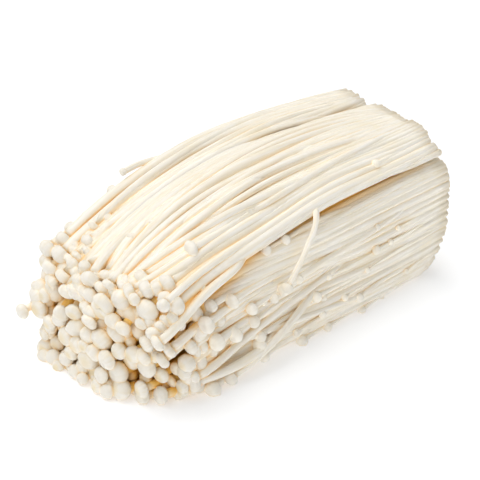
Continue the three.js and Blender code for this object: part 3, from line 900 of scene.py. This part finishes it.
def grow_bridge(bridge, draw):
    """A stem that follows the line where a side, moved in, meets a crack, moved over."""
    side, crack, beside, below, start, end = bridge
    s = np.linspace(start, end, BRIDGE_STEPS)
    t = np.linspace(0, 1, BRIDGE_STEPS)
    radii = mix(BRIDGE_START, mix(*BRIDGE_NECK, draw()), s / end)
    ends = np.abs(2 * t - 1)
    tuck = np.where(t < 0.5, BRIDGE_TUCK[0] * ends ** 4, BRIDGE_TUCK[1] * ends ** 6)
    deep = below + radii - BRIDGE_MIDDLE + tuck
    own = BRIDGE_WANDER * (draw() * 2 - 1) * np.sin(draw() * 6 + t * mix(4, 8, draw()))
    a, b = math.radians(side[0]), math.radians(crack[0])
    first, second = side_distance(side, s) - deep, side_distance(crack, s) + (beside + own)
    turn = math.cos(a) * math.sin(b) - math.sin(a) * math.cos(b)
    y = (first * math.sin(b) - second * math.sin(a)) / turn
    z = (second * math.cos(a) - first * math.cos(b)) / turn
    path = np.stack([CUT_X - LENGTH * s, y, z], axis=1)
    return sweep(path, radii, draw, sides=INNER_SIDES, cap=radii[-1] * BRIDGE_CAP)


print("stems over the cracks:", {name: len(bridges) for name, bridges in BRIDGES.items()})

# %% [markdown]
# ## Pinheads
# The shortest mushrooms never caught up. Their small round caps sit on the wall of the bunch, on
# thin stems that lie along it.

# %% Grow the small mushrooms on a clump's side
SMALL_STEPS, SMALL_SIDES = 16, 12
PINHEAD_PROUD = 1.1  # how far out a pinhead sits, as a share of its radius
SMALL_STEM = (0.44, 0.5)  # a stem's radius, as a share of its cap's
SMALL_TUCK, SMALL_BEND = 1.0, 2.4  # mm that its start dives in, and that it bends sideways
SMALL_YOUNG = 0.3  # how much whiter the youngest are
# More of them on the front clump: (distance along the bunch, direction in degrees, cap radius).
PINHEADS = [
    (-22, 138, 1.9), (-13.5, 138, 1.7), (-11.7, 130, 1.4), (3.9, 174, 1.15), (1.5, 188, 1.25),
    (1.1, 200, 1.4), (5, 214, 1.7), (22, 216, 1.6), (27, 156, 1.1), (37.7, 164, 0.9), (33.8, 172, 1.05),
    (22.8, 185, 0.95), (43, 204, 0.9), (-10.3, 204, 1.35), (-41.9, 154, 2.5), (-32.6, 166, 2.1),
    (-22, 168, 1.7), (-31.6, 176, 2.2), (-28.4, 190, 2.0), (-49, 174, 2.8), (-25.9, 207, 2.1),
    (-10.6, 164, 1.6), (11.8, 197, 1.25),
]
print("pinheads:", len(PINHEADS), "beside the solid model's own")


def grow_small(clump, plan, draw):
    """A short mushroom along the side; a tone over 1 marks it as young and whiter."""
    cap, angle = plan["cap"], plan["angle"]
    start_x = min(plan["tip_x"] + SMALL_LENGTH, CUT_X - SMALL_LENGTH / 4)
    neck_s = share(plan["tip_x"] + CAP_LENGTH * cap)
    s = np.linspace(share(start_x), neck_s, SMALL_STEPS)
    t = np.linspace(0, 1, SMALL_STEPS)
    radii = cap * mix(*SMALL_STEM, draw()) * mix(0.85, 1.0, t)
    inset = mix(radii + SMALL_TUCK * (1 - t) ** 2, (1 - PINHEAD_PROUD) * cap, t ** CAP_SETTLE)
    sideways = SMALL_BEND * (draw() - 0.5) * t * (1 - t) * 4
    y, z = section_place(clump, s, *toward(angle, s), inset)
    y, z = y - math.sin(angle) * sideways, z + math.cos(angle) * sideways
    path = np.stack([CUT_X - LENGTH * s, y, z], axis=1)
    return sweep(path, radii, draw, sides=SMALL_SIDES, cap=cap, tone=1 + SMALL_YOUNG * draw())


# %% [markdown]
# ## The cut end
# The knife went through all the stems just above the root block, so the cut face is a mosaic of
# stem ends, each a pale disc pressed by its neighbours. Short stubs on a tight honeycomb make it.

# %% Set the stubs of the cut face
STUB_PITCH, STUB_RADIUS, STUB_DEPTH = 1.9, 0.98, 3.0
STUB_SIDES = 8
STUB_STRAY, STUB_UNEVEN = 0.5, 0.7  # mm across the face, and out of it
STUB_UNLIKE = (0.85, 1.12)  # the thinnest and the thickest, for the usual one
STUB_RIM = 2.1  # mm inside the section's rim, where the wall's own stems end
STUB_REACH = 40  # mm; the honeycomb is this large, more than any clump needs
print("stem ends every", STUB_PITCH, "mm on the cut face")


def cut_stubs(clump, draw):
    """Short stubs on a honeycomb, with their flat ends on the cut."""
    stubs = []
    middle = section_middle(clump, 0.0)
    rows = math.ceil(STUB_REACH / STUB_PITCH)
    for row in range(-rows, rows + 1):
        for column in range(-rows, rows + 1):
            y = (column + (0.5 if row % 2 else 0)) * STUB_PITCH + (draw() - 0.5) * STUB_STRAY
            z = row * STUB_PITCH * ROW_STEP + (draw() - 0.5) * STUB_STRAY
            angle = math.atan2(z, y)
            if math.hypot(y, z) > float(section_reach(clump, 0.0, angle)) - STUB_RIM:
                continue
            y, z = y + middle[0], z + middle[1]
            face = float(cut_x(z)) - STUB_UNEVEN * draw() - STUB_UNEVEN * clump["fray"] * draw()
            path = np.array([(face, y, z), (face - STUB_DEPTH, y, z)])
            radii = np.full(2, STUB_RADIUS * mix(*STUB_UNLIKE, draw()))
            stubs.append(sweep(path, radii, draw, sides=STUB_SIDES, cut_end=True))
    return stubs


# %% [markdown]
# ## The core
# Behind the stems that can be seen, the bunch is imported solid. One ribbed body inside each clump
# stands for those stems and stops the light, well below the surface.

# %% Make the core of a clump
CORE_INSET, CORE_RIB, CORE_GROOVE = (0.35, 1.3), 1.3, 0.22
CORE_RISE = 0.45  # share of the length over which the core sinks below the stems
CORE_BACK = 0.8  # mm that it ends behind the cut
CORE_RINGS = 16
RIB_TURN = 0.75  # how far the fibre pattern moves from one rib to the next
CORE_END = (0.15, 0.45, 0.75)  # shares of the way from the middle of the cut to its rim
PACKED_S = (0.0, 0.36, 0.52, 0.64, 0.74, 0.82, 0.88)
PACKED_SHARE = (1.0, 0.985, 0.94, 0.86, 0.74, 0.56, 0.3)
print("the cores end", round(LENGTH * (1 - PACKED_S[-1])), "mm behind the foremost caps")


def core(clump):
    """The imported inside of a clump, in rings from the middle of the cut to just behind the caps."""
    ribs = round(rim_walk(clump, 0.5, 0)[-1] / CORE_RIB)
    sides = 2 * ribs
    angle = np.arange(sides) / sides * math.tau
    rings = []
    shares = [(0.0, inward) for inward in CORE_END]
    for s in np.linspace(0.0, PACKED_S[-1], CORE_RINGS):
        shares.append((s, float(np.interp(s, PACKED_S, PACKED_SHARE))))
    for s, filled in shares:
        sunk = min(1.0, s / CORE_RISE) ** 1.5
        inset = mix(*CORE_INSET, sunk) + np.where(np.arange(sides) % 2, CORE_GROOVE, 0.0)
        y, z = section_place(clump, s, np.cos(angle) * filled, np.sin(angle) * filled, inset)
        x = np.minimum(CUT_X - LENGTH * s, cut_x(z) - CORE_BACK - clump["fray"])
        rings.append(np.stack([x, y, z], axis=1)[::-1])
    rings = np.array(rings)
    walked = CUT_X - rings[:, :, 0].mean(axis=1)
    fibre = np.stack(np.broadcast_arrays(np.arange(sides)[None] * RIB_TURN, 0.0 * walked[:, None],
                                         walked[:, None]), axis=-1)
    return skin(rings, fibre, np.zeros(len(rings)), 0.5)


# %% [markdown]
# ## Stray mushrooms
# One stem was pulled loose and lies across the front, two have slipped down to the table, two lie
# over the back, and one sticks out of the crowd. The few points of each are rounded by a
# Catmull-Rom curve, which passes through all of them.

# %% Grow the stray mushrooms
# Each: the points of its stem, the radius of its stem and the radius of its cap.
STRAYS = {
    "top_clump": [
        ([(7, -19, 43.5), (3, -25.6, 46.2), (0.4, -29.4, 47.3), (-3, -32.4, 44.4), (-7, -33.6, 40),
          (-11.6, -34.4, 34.9), (-17, -35, 29.3)], 1.05, 1.95),
    ],
    "front_clump": [
        ([(8, -25, 21), (-4, -31, 18), (-17, -34, 12.8), (-30, -34.2, 7), (-39.5, -33, 3.4)],
         1.4, 2.5),
        ([(-14, -29, 13), (-28, -33.6, 9), (-42, -33.6, 7.3), (-54, -31.4, 6.6)], 1.55, 2.9),
    ],
    "back_clump": [
        ([(8, 22, 49.5), (-7, 23.5, 51.5), (-18, 24, 53.6), (-29, 24, 55), (-36, 24, 54.6)],
         1.15, 1.3),
        ([(-20, 20, 50), (-30, 22, 50.3), (-41, 23.6, 49.6)], 1.1, 1.9),
        ([(-52, 22, 20), (-63, 24.2, 19.6), (-71, 26, 18.3), (-77.2, 27, 16.6)], 1.35, 2.55),
    ],
}
STRAY_TAPER, STRAY_TONE = 0.12, 0.95
SPAN_POINTS = 4  # points of the curve from each given point to the next
print("strays:", {name: len(shapes) for name, shapes in STRAYS.items()})


def smooth_curve(knots, per_span):
    """A Catmull-Rom curve through the knots."""
    ends = np.concatenate([[2 * knots[0] - knots[1]], knots, [2 * knots[-1] - knots[-2]]])
    points = []
    for k in range(1, len(ends) - 2):
        a, b, c, d = ends[k - 1:k + 3]
        for t in np.arange(per_span) / per_span:
            points.append(0.5 * (2 * b + (c - a) * t + (2 * a - 5 * b + 4 * c - d) * t ** 2
                                 + (3 * b - a - 3 * c + d) * t ** 3))
    return np.array(points + [ends[-2]])


def stray(knots, radius, cap, draw):
    """A mushroom whose stem runs through the knots."""
    path = smooth_curve(np.array(knots, dtype=float), SPAN_POINTS)
    radii = radius * (1 - STRAY_TAPER * np.linspace(0, 1, len(path)))
    return sweep(path, radii, draw, sides=LARGE_SIDES, cap=cap, tone=STRAY_TONE)


# %% [markdown]
# ## Loose stems
# A few stems were combed out of line when the bunch was cut and packed. Each lies on its clump and
# crosses its neighbours at a small angle, and both of its ends tuck in between them.

# %% Grow the loose stems of a clump
LOOSE_STEPS = 20
LOOSE_PROUD, LOOSE_BEND = 0.75, 2.5  # share of its radius that stands out, and degrees of bend
LOOSE_TUCK = (4.0, 2.2)  # mm that its start and end dive in
LOOSE_CAP = 1.75  # for its stem's radius
LOOSE_TAPER = (0.85, 1.05)  # its radius at its start and at its neck, for the one given
# Each: its direction in degrees at its start and end, the shares of the length where it starts and
# ends, and the radius of its stem.
LOOSE = {
    "front_clump": [(170, 194, 0.34, 0.84, 1.35), (150, 168, 0.12, 0.62, 1.1),
                    (206, 186, 0.22, 0.72, 1.15)],
    "top_clump": [(92, 112, 0.28, 0.93, 1.45), (126, 106, 0.16, 0.80, 1.25),
                  (152, 134, 0.34, 0.91, 1.4), (110, 136, 0.44, 0.92, 1.45),
                  (140, 152, 0.08, 0.60, 1.1)],
    "back_clump": [(80, 92, 0.20, 0.84, 1.3)],
}
print("loose stems:", {name: len(shapes) for name, shapes in LOOSE.items()})


def grow_loose(clump, shape, draw):
    """A stem that crosses its neighbours at a small angle."""
    start_turn, end_turn, start, end, radius = shape
    t = np.linspace(0, 1, LOOSE_STEPS)
    s = mix(start, end, t)
    bend = LOOSE_BEND * (draw() * 2 - 1) * np.sin(math.tau * t * mix(0.5, 1.0, draw()))
    angle = np.radians(mix(start_turn, end_turn, t) + bend)
    radii = radius * mix(*LOOSE_TAPER, t)
    ends = np.abs(2 * t - 1)
    tuck = np.where(t < 0.5, LOOSE_TUCK[0] * ends ** 5, LOOSE_TUCK[1] * ends ** 8)
    inset = radii * (1 - LOOSE_PROUD) + tuck
    y, z = section_place(clump, s, np.cos(angle), np.sin(angle), inset)
    path = np.stack([CUT_X - LENGTH * s, y, z], axis=1)
    return sweep(path, radii, draw, sides=INNER_SIDES, cap=radius * LOOSE_CAP, tone=STRAY_TONE)


# %% [markdown]
# ## Marks for the materials
# Light that reaches a crevice has bounced from many stems, and each bounce takes some blue, so
# deep places look warm. A render can't follow enough bounces to get there by itself, so that warm
# shade is painted into the colour, and each point carries marks: `buried` for how far it lies below
# the bunch's outside in mm, which sets how much painted shade it gets, `crease` for how strongly
# painted shade shows in its crevices, and `cut` for how near it is to the cut face.

# %% Measure how deep each point lies
HULL = [FLOOR_SIDE, FRONT, TOP, BACK, LOW_FRONT, HIGH_FRONT]
BEHIND_CAPS = 0.75  # depth for each mm behind the foremost caps
BEHIND_CUT = 1.2  # and for each mm behind the cut
NEVER = 99.0  # mm; more than any depth
CROWD_X_FROM, CROWD_X_WIDTH = -15, 40  # mm; the crowd grows from here on, over this length
# How much painted warm shade a depth gives, in the wall and in the crowd, how much less a cap gets, and
# how strongly crevices are painted with shade.
DEPTH_PACKED, DEPTH_CROWD = 0.7, 1.25  # a depth counts for this much, in the wall and in the crowd
CAP_RELIEF = 0.5  # how much less it counts on a cap
CAP_CREASE, STEM_CREASE = (0.2, 0.32), (0.25, 0.8)  # in the wall and in the crowd
DRY_DEPTH = 1.5  # mm from the cut face to fresh flesh


def buried_depth(clump, points):
    """How far points of a clump lie below the outside of the bunch, in mm."""
    x, y, z = points.T
    s = np.clip(share(x), 0, 1)
    depth = np.full(len(points), NEVER)
    for side in HULL:
        facing = math.radians(side[0])
        below = side_distance(side, s) - y * math.cos(facing) - z * math.sin(facing)
        depth = np.minimum(depth, below)
    depth = np.minimum(depth, (x - crowd_x(clump, y, z)) * BEHIND_CAPS)
    return np.clip(np.minimum(depth, (cut_x(z) - x) * BEHIND_CUT), 0, None)


def marks_of(clump, points, crown):
    """The marks that follow from where the points of a clump lie."""
    crowd = np.clip((CROWD_X_FROM - points[:, 0]) / CROWD_X_WIDTH, 0, 1)
    buried = buried_depth(clump, points) * mix(DEPTH_PACKED, DEPTH_CROWD, crowd)
    # buried and crease set how much warm shade is painted on a point; cut marks the dry cut face.
    return {
        "buried": buried * (1 - CAP_RELIEF * np.clip(crown * 2, 0, 1)),
        "crease": np.where(crown > 0, mix(*CAP_CREASE, crowd), mix(*STEM_CREASE, crowd)),
        "cut": np.clip(1 - (cut_x(points[:, 2]) - points[:, 0]) / DRY_DEPTH, 0, 1),
    }


print("marks: buried, crease and cut, from", len(HULL), "outer sides")


# %% [markdown]
# ## Mushroom flesh: threads
# Raw enoki flesh is water and thin-walled threads that run lengthwise: satin, creamy white and
# translucent for a millimetre or two. A noise that is stretched along each stem draws the threads,
# and a coarse one draws pale and aged patches. Every stem gets its own tone.

# %% Start the flesh material with the colour of its stems
THREAD_WIDTH = 0.55  # mm; real threads are far finer, drawn as coarse as a render can show
THREAD_LENGTH = 14.0  # mm
BLOTCH = 9.0  # mm

flesh = new_material("raw_mushroom_flesh")
fibre = add_node(flesh, "ShaderNodeAttribute", {"attribute_name": "fibre"})
tone = add_node(flesh, "ShaderNodeAttribute", {"attribute_name": "tone"})
along_threads = (1 / THREAD_WIDTH, 1 / THREAD_WIDTH, 1 / THREAD_LENGTH)
stretch = add_node(flesh, "ShaderNodeVectorMath", {"operation": "MULTIPLY", 1: along_threads},
                   {0: fibre.outputs["Vector"]})
threads = add_node(flesh, "ShaderNodeTexNoise", {"Scale": 1.0, "Detail": 3.0, "Roughness": 0.55},
                   {"Vector": stretch.outputs["Vector"]})
place = add_node(flesh, "ShaderNodeTexCoord")
blotches = add_node(flesh, "ShaderNodeTexNoise", {"Scale": 1 / (BLOTCH * MM), "Detail": 2.0},
                    {"Vector": place.outputs["Object"]})

pale = add_node(flesh, "ShaderNodeMapRange", {"From Min": 0.38, "From Max": 0.68},
                {"Value": threads.outputs["Fac"]})
stem_colour = add_node(flesh, "ShaderNodeMix",
                       {"data_type": "RGBA", 6: linear("#FFFAF1"), 7: linear("#F4E8CE")},
                       {0: pale.outputs["Result"]})
each = add_node(flesh, "ShaderNodeMapRange", {"To Max": 0.4}, {"Value": tone.outputs["Fac"]})
own_colour = add_node(flesh, "ShaderNodeMix", {"data_type": "RGBA", 7: linear("#FFFBF3")},
                      {0: each.outputs["Result"], 6: stem_colour.outputs[2]})
patch = add_node(flesh, "ShaderNodeMapRange", {"From Min": 0.5, "From Max": 0.75, "To Max": 0.35},
                 {"Value": blotches.outputs["Fac"]})
aged_colour = add_node(flesh, "ShaderNodeMix", {"data_type": "RGBA", 7: linear("#F6E9CC")},
                       {0: patch.outputs["Result"], 6: own_colour.outputs[2]})
print("threads every", THREAD_WIDTH, "mm, patches of about", BLOTCH, "mm")

# %% [markdown]
# ## Mushroom flesh: caps
# A cap's skin is smoother and a little greyer than the stem, and older ones are creamier, with a
# yellow middle. Pinheads are the youngest and the whitest. The `crown` mark fades the cap's colour
# in from its rim, and the tone says how old it is.

# %% Colour the caps
crown = add_node(flesh, "ShaderNodeAttribute", {"attribute_name": "crown"})
capped = add_node(flesh, "ShaderNodeMapRange", {"To Max": 0.8}, {"Value": crown.outputs["Fac"]})
young = add_node(flesh, "ShaderNodeMapRange", {"From Min": 0.1, "From Max": 0.45},
                 {"Value": tone.outputs["Fac"]})
cap_skin = add_node(flesh, "ShaderNodeMix",
                    {"data_type": "RGBA", 6: linear("#F5E6C6"), 7: linear("#ECE7DD")},
                    {0: young.outputs["Result"]})
white = add_node(flesh, "ShaderNodeMapRange", {"From Min": 1.0, "From Max": 1.2},
                 {"Value": tone.outputs["Fac"]})
cap_own = add_node(flesh, "ShaderNodeMix", {"data_type": "RGBA", 7: linear("#FFFAEE")},
                   {0: white.outputs["Result"], 6: cap_skin.outputs[2]})
whole_cap = add_node(flesh, "ShaderNodeMix", {"data_type": "RGBA"},
                     {0: capped.outputs["Result"], 6: aged_colour.outputs[2], 7: cap_own.outputs[2]})
middle = add_node(flesh, "ShaderNodeMapRange", {"From Min": 0.8, "From Max": 1.0, "To Max": 0.6},
                  {"Value": crown.outputs["Fac"]})
yellowed = add_node(flesh, "ShaderNodeMapRange", {"From Min": 0.75, "From Max": 0.55},
                    {"Value": tone.outputs["Fac"]})
spot = add_node(flesh, "ShaderNodeMath", {"operation": "MULTIPLY"},
                {0: middle.outputs["Result"], 1: yellowed.outputs["Result"]})
cap_colour = add_node(flesh, "ShaderNodeMix", {"data_type": "RGBA", 7: linear("#F1DCA8")},
                      {0: spot.outputs["Value"], 6: whole_cap.outputs[2]})
print("cap colours take", len(cap_colour.id_data.nodes), "nodes so far")

# %% [markdown]
# ## Mushroom flesh: painted warm shade in the depths
# Deep places and crevices get painted shade: they go gold in the colour, in place of light that
# bounces between stems. The `buried` mark knows the deep ones. An ambient occlusion node finds
# crevices between neighbours, by how much open space is near a point, and the `crease` mark says
# how strongly the painted shade shows in them. The cut face is dry, so it is a little darker.

# %% Paint warm shade into the deep places and dry the cut
CREVICE = 2.0  # mm; a point with less open space than this far round it lies in a crevice

buried = add_node(flesh, "ShaderNodeAttribute", {"attribute_name": "buried"})
crease = add_node(flesh, "ShaderNodeAttribute", {"attribute_name": "crease"})
cut = add_node(flesh, "ShaderNodeAttribute", {"attribute_name": "cut"})
# Painted shade: deep points and crevices are mixed towards gold.
deep = add_node(flesh, "ShaderNodeMapRange",
                {"From Min": 1.3, "From Max": 5.5, "To Max": 1.0, "interpolation_type": "SMOOTHSTEP"},
                {"Value": buried.outputs["Fac"]})
near_space = add_node(flesh, "ShaderNodeAmbientOcclusion", {"samples": 8, "Distance": CREVICE * MM})
creased = add_node(flesh, "ShaderNodeMapRange", {"From Min": 0.8, "From Max": 0.15},
                   {"Value": near_space.outputs["AO"]})
crevice = add_node(flesh, "ShaderNodeMath", {"operation": "MULTIPLY"},
                   {0: creased.outputs["Result"], 1: crease.outputs["Fac"]})
painted_shade_share = add_node(flesh, "ShaderNodeMath", {"operation": "MAXIMUM"},
                {0: deep.outputs["Result"], 1: crevice.outputs["Value"]})
# The gold of the painted shade, in place of light bounced between stems.
painted_warm_shade = add_node(flesh, "ShaderNodeMix", {"data_type": "RGBA", 7: linear("#FFCE6C")},
                       {0: painted_shade_share.outputs["Value"], 6: cap_colour.outputs[2]})
dry = add_node(flesh, "ShaderNodeMapRange", {"To Max": 0.55}, {"Value": cut.outputs["Fac"]})
flesh_colour = add_node(flesh, "ShaderNodeMix", {"data_type": "RGBA", 7: linear("#EAD9B8")},
                        {0: dry.outputs["Result"], 6: painted_warm_shade.outputs[2]})
print("crevices show within", CREVICE, "mm of a neighbour")

# %% [markdown]
# ## Mushroom flesh: glow and gloss
# Light scatters under the surface and comes out nearby, redder than it went in. Burley's way of
# scattering is the quickest one, and soft enough for stems of 2 to 4 mm. Flesh is mostly water, so
# its IOR is 1.38, and the threads make it satin, between glossy and matt.

# %% Finish the flesh material
GLOW = 0.9  # mm that red light scatters
satin = add_node(flesh, "ShaderNodeMapRange", {"To Min": 0.42, "To Max": 0.6},
                 {"Value": threads.outputs["Fac"]})
relief = add_node(flesh, "ShaderNodeBump", {"Strength": 0.6, "Distance": 0.2 * MM},
                  {"Height": threads.outputs["Fac"]})
body = add_node(flesh, "ShaderNodeBsdfPrincipled",
                {"IOR": 1.38, "subsurface_method": "BURLEY", "Subsurface Weight": 0.7,
                 "Subsurface Radius": (1.0, 0.89, 0.68), "Subsurface Scale": GLOW * MM},
                {"Base Color": flesh_colour.outputs[2], "Roughness": satin.outputs["Result"],
                 "Normal": relief.outputs["Normal"]})
add_node(flesh, "ShaderNodeOutputMaterial", (), {"Surface": body.outputs["BSDF"]})
print("material:", flesh.name)

# %% [markdown]
# ## Building the clumps
# All skins of one clump are joined in one object, because a clump is grown together at its root.
# The skins pass through each other inside, where nothing shows. A boolean union would weld them,
# but it would take minutes and look the same.

# %% Join skins in one object
def join_skins(name, clump, skins):
    """One object from many skins, with their marks as attributes of its points."""
    offset, points, faces = 0, [], []
    for part in skins:
        points.append(part["points"])
        faces += (part["quads"] + offset).tolist() + (part["fans"] + offset).tolist()
        offset += len(part["points"])
    points = np.concatenate(points)
    mesh = bpy.data.meshes.new(name)
    mesh.from_pydata(((points + AXIS) * MM).tolist(), [], faces)
    mesh.polygons.foreach_set("use_smooth", np.ones(len(mesh.polygons), dtype=bool))
    marks = {key: np.concatenate([part[key] for part in skins]) for key in ("crown", "tone")}
    marks.update(marks_of(clump, points, marks["crown"]))
    for key, values in marks.items():
        mesh.attributes.new(key, "FLOAT", "POINT").data.foreach_set("value", values.astype(np.float32))
    fibres = np.concatenate([part["fibre"] for part in skins]).astype(np.float32)
    mesh.attributes.new("fibre", "FLOAT_VECTOR", "POINT").data.foreach_set("vector", fibres.ravel())
    mesh.materials.append(flesh)
    piece = bpy.data.objects.new(name, mesh)
    bpy.context.scene.collection.objects.link(piece)
    return piece


print("skins are joined with the material", flesh.name)

# %% [markdown]
# ## Plans, then growth
# Each clump has two generators: one makes the solid model's draws, and an extra one makes all that
# only this model has. All caps are planned before the first one grows, because caps of different
# clumps push each other apart too.

# %% Build each clump
EXTRA_SEED = 100
extras = {name: seeded(clump["seed"] + EXTRA_SEED) for name, clump in CLUMPS.items()}
planned = {}
for name, clump in CLUMPS.items():
    draw, extra = seeded(clump["seed"]), extras[name]
    large, small = large_plans(clump, draw), small_plans(clump, draw)
    medium, filler = medium_plans(clump, large, extra), filler_plans(clump, extra)
    planned[name] = (large, medium, filler, small)
settle_caps([(CLUMPS[name], plan) for name, (large, medium, filler, _) in planned.items()
             for plan in large + medium + filler])

for name, clump in CLUMPS.items():
    extra = extras[name]
    large, medium, filler, small = planned[name]
    skins = [core(clump)]
    skins += [grow_large(clump, plan, extra) for plan in large + medium + filler]
    thin = wall_angles(clump, large + medium, extra)
    skins += [grow_wall_stem(clump, angle, extra) for angle in thin]
    skins += [grow_bridge(bridge, extra) for bridge in BRIDGES[name]]
    skins += [grow_layer_stem(clump, angle, extra) for angle in layer_angles(clump, extra)]
    if name == "front_clump":
        small += [dict(tip_x=x, angle=math.radians(turn), cap=cap) for x, turn, cap in PINHEADS]
    skins += [grow_small(clump, plan, extra) for plan in small]
    skins += cut_stubs(clump, extra)
    skins += [stray(*shape, extra) for shape in STRAYS[name]]
    skins += [grow_loose(clump, shape, extra) for shape in LOOSE[name]]
    piece = join_skins(name + "_grown", clump, skins)
    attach(piece, "root")
    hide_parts(name)
    triangles = sum(len(f.vertices) - 2 for f in piece.data.polygons)
    print(piece.name, len(large), "large,", len(skins), "skins,", triangles, "triangles")
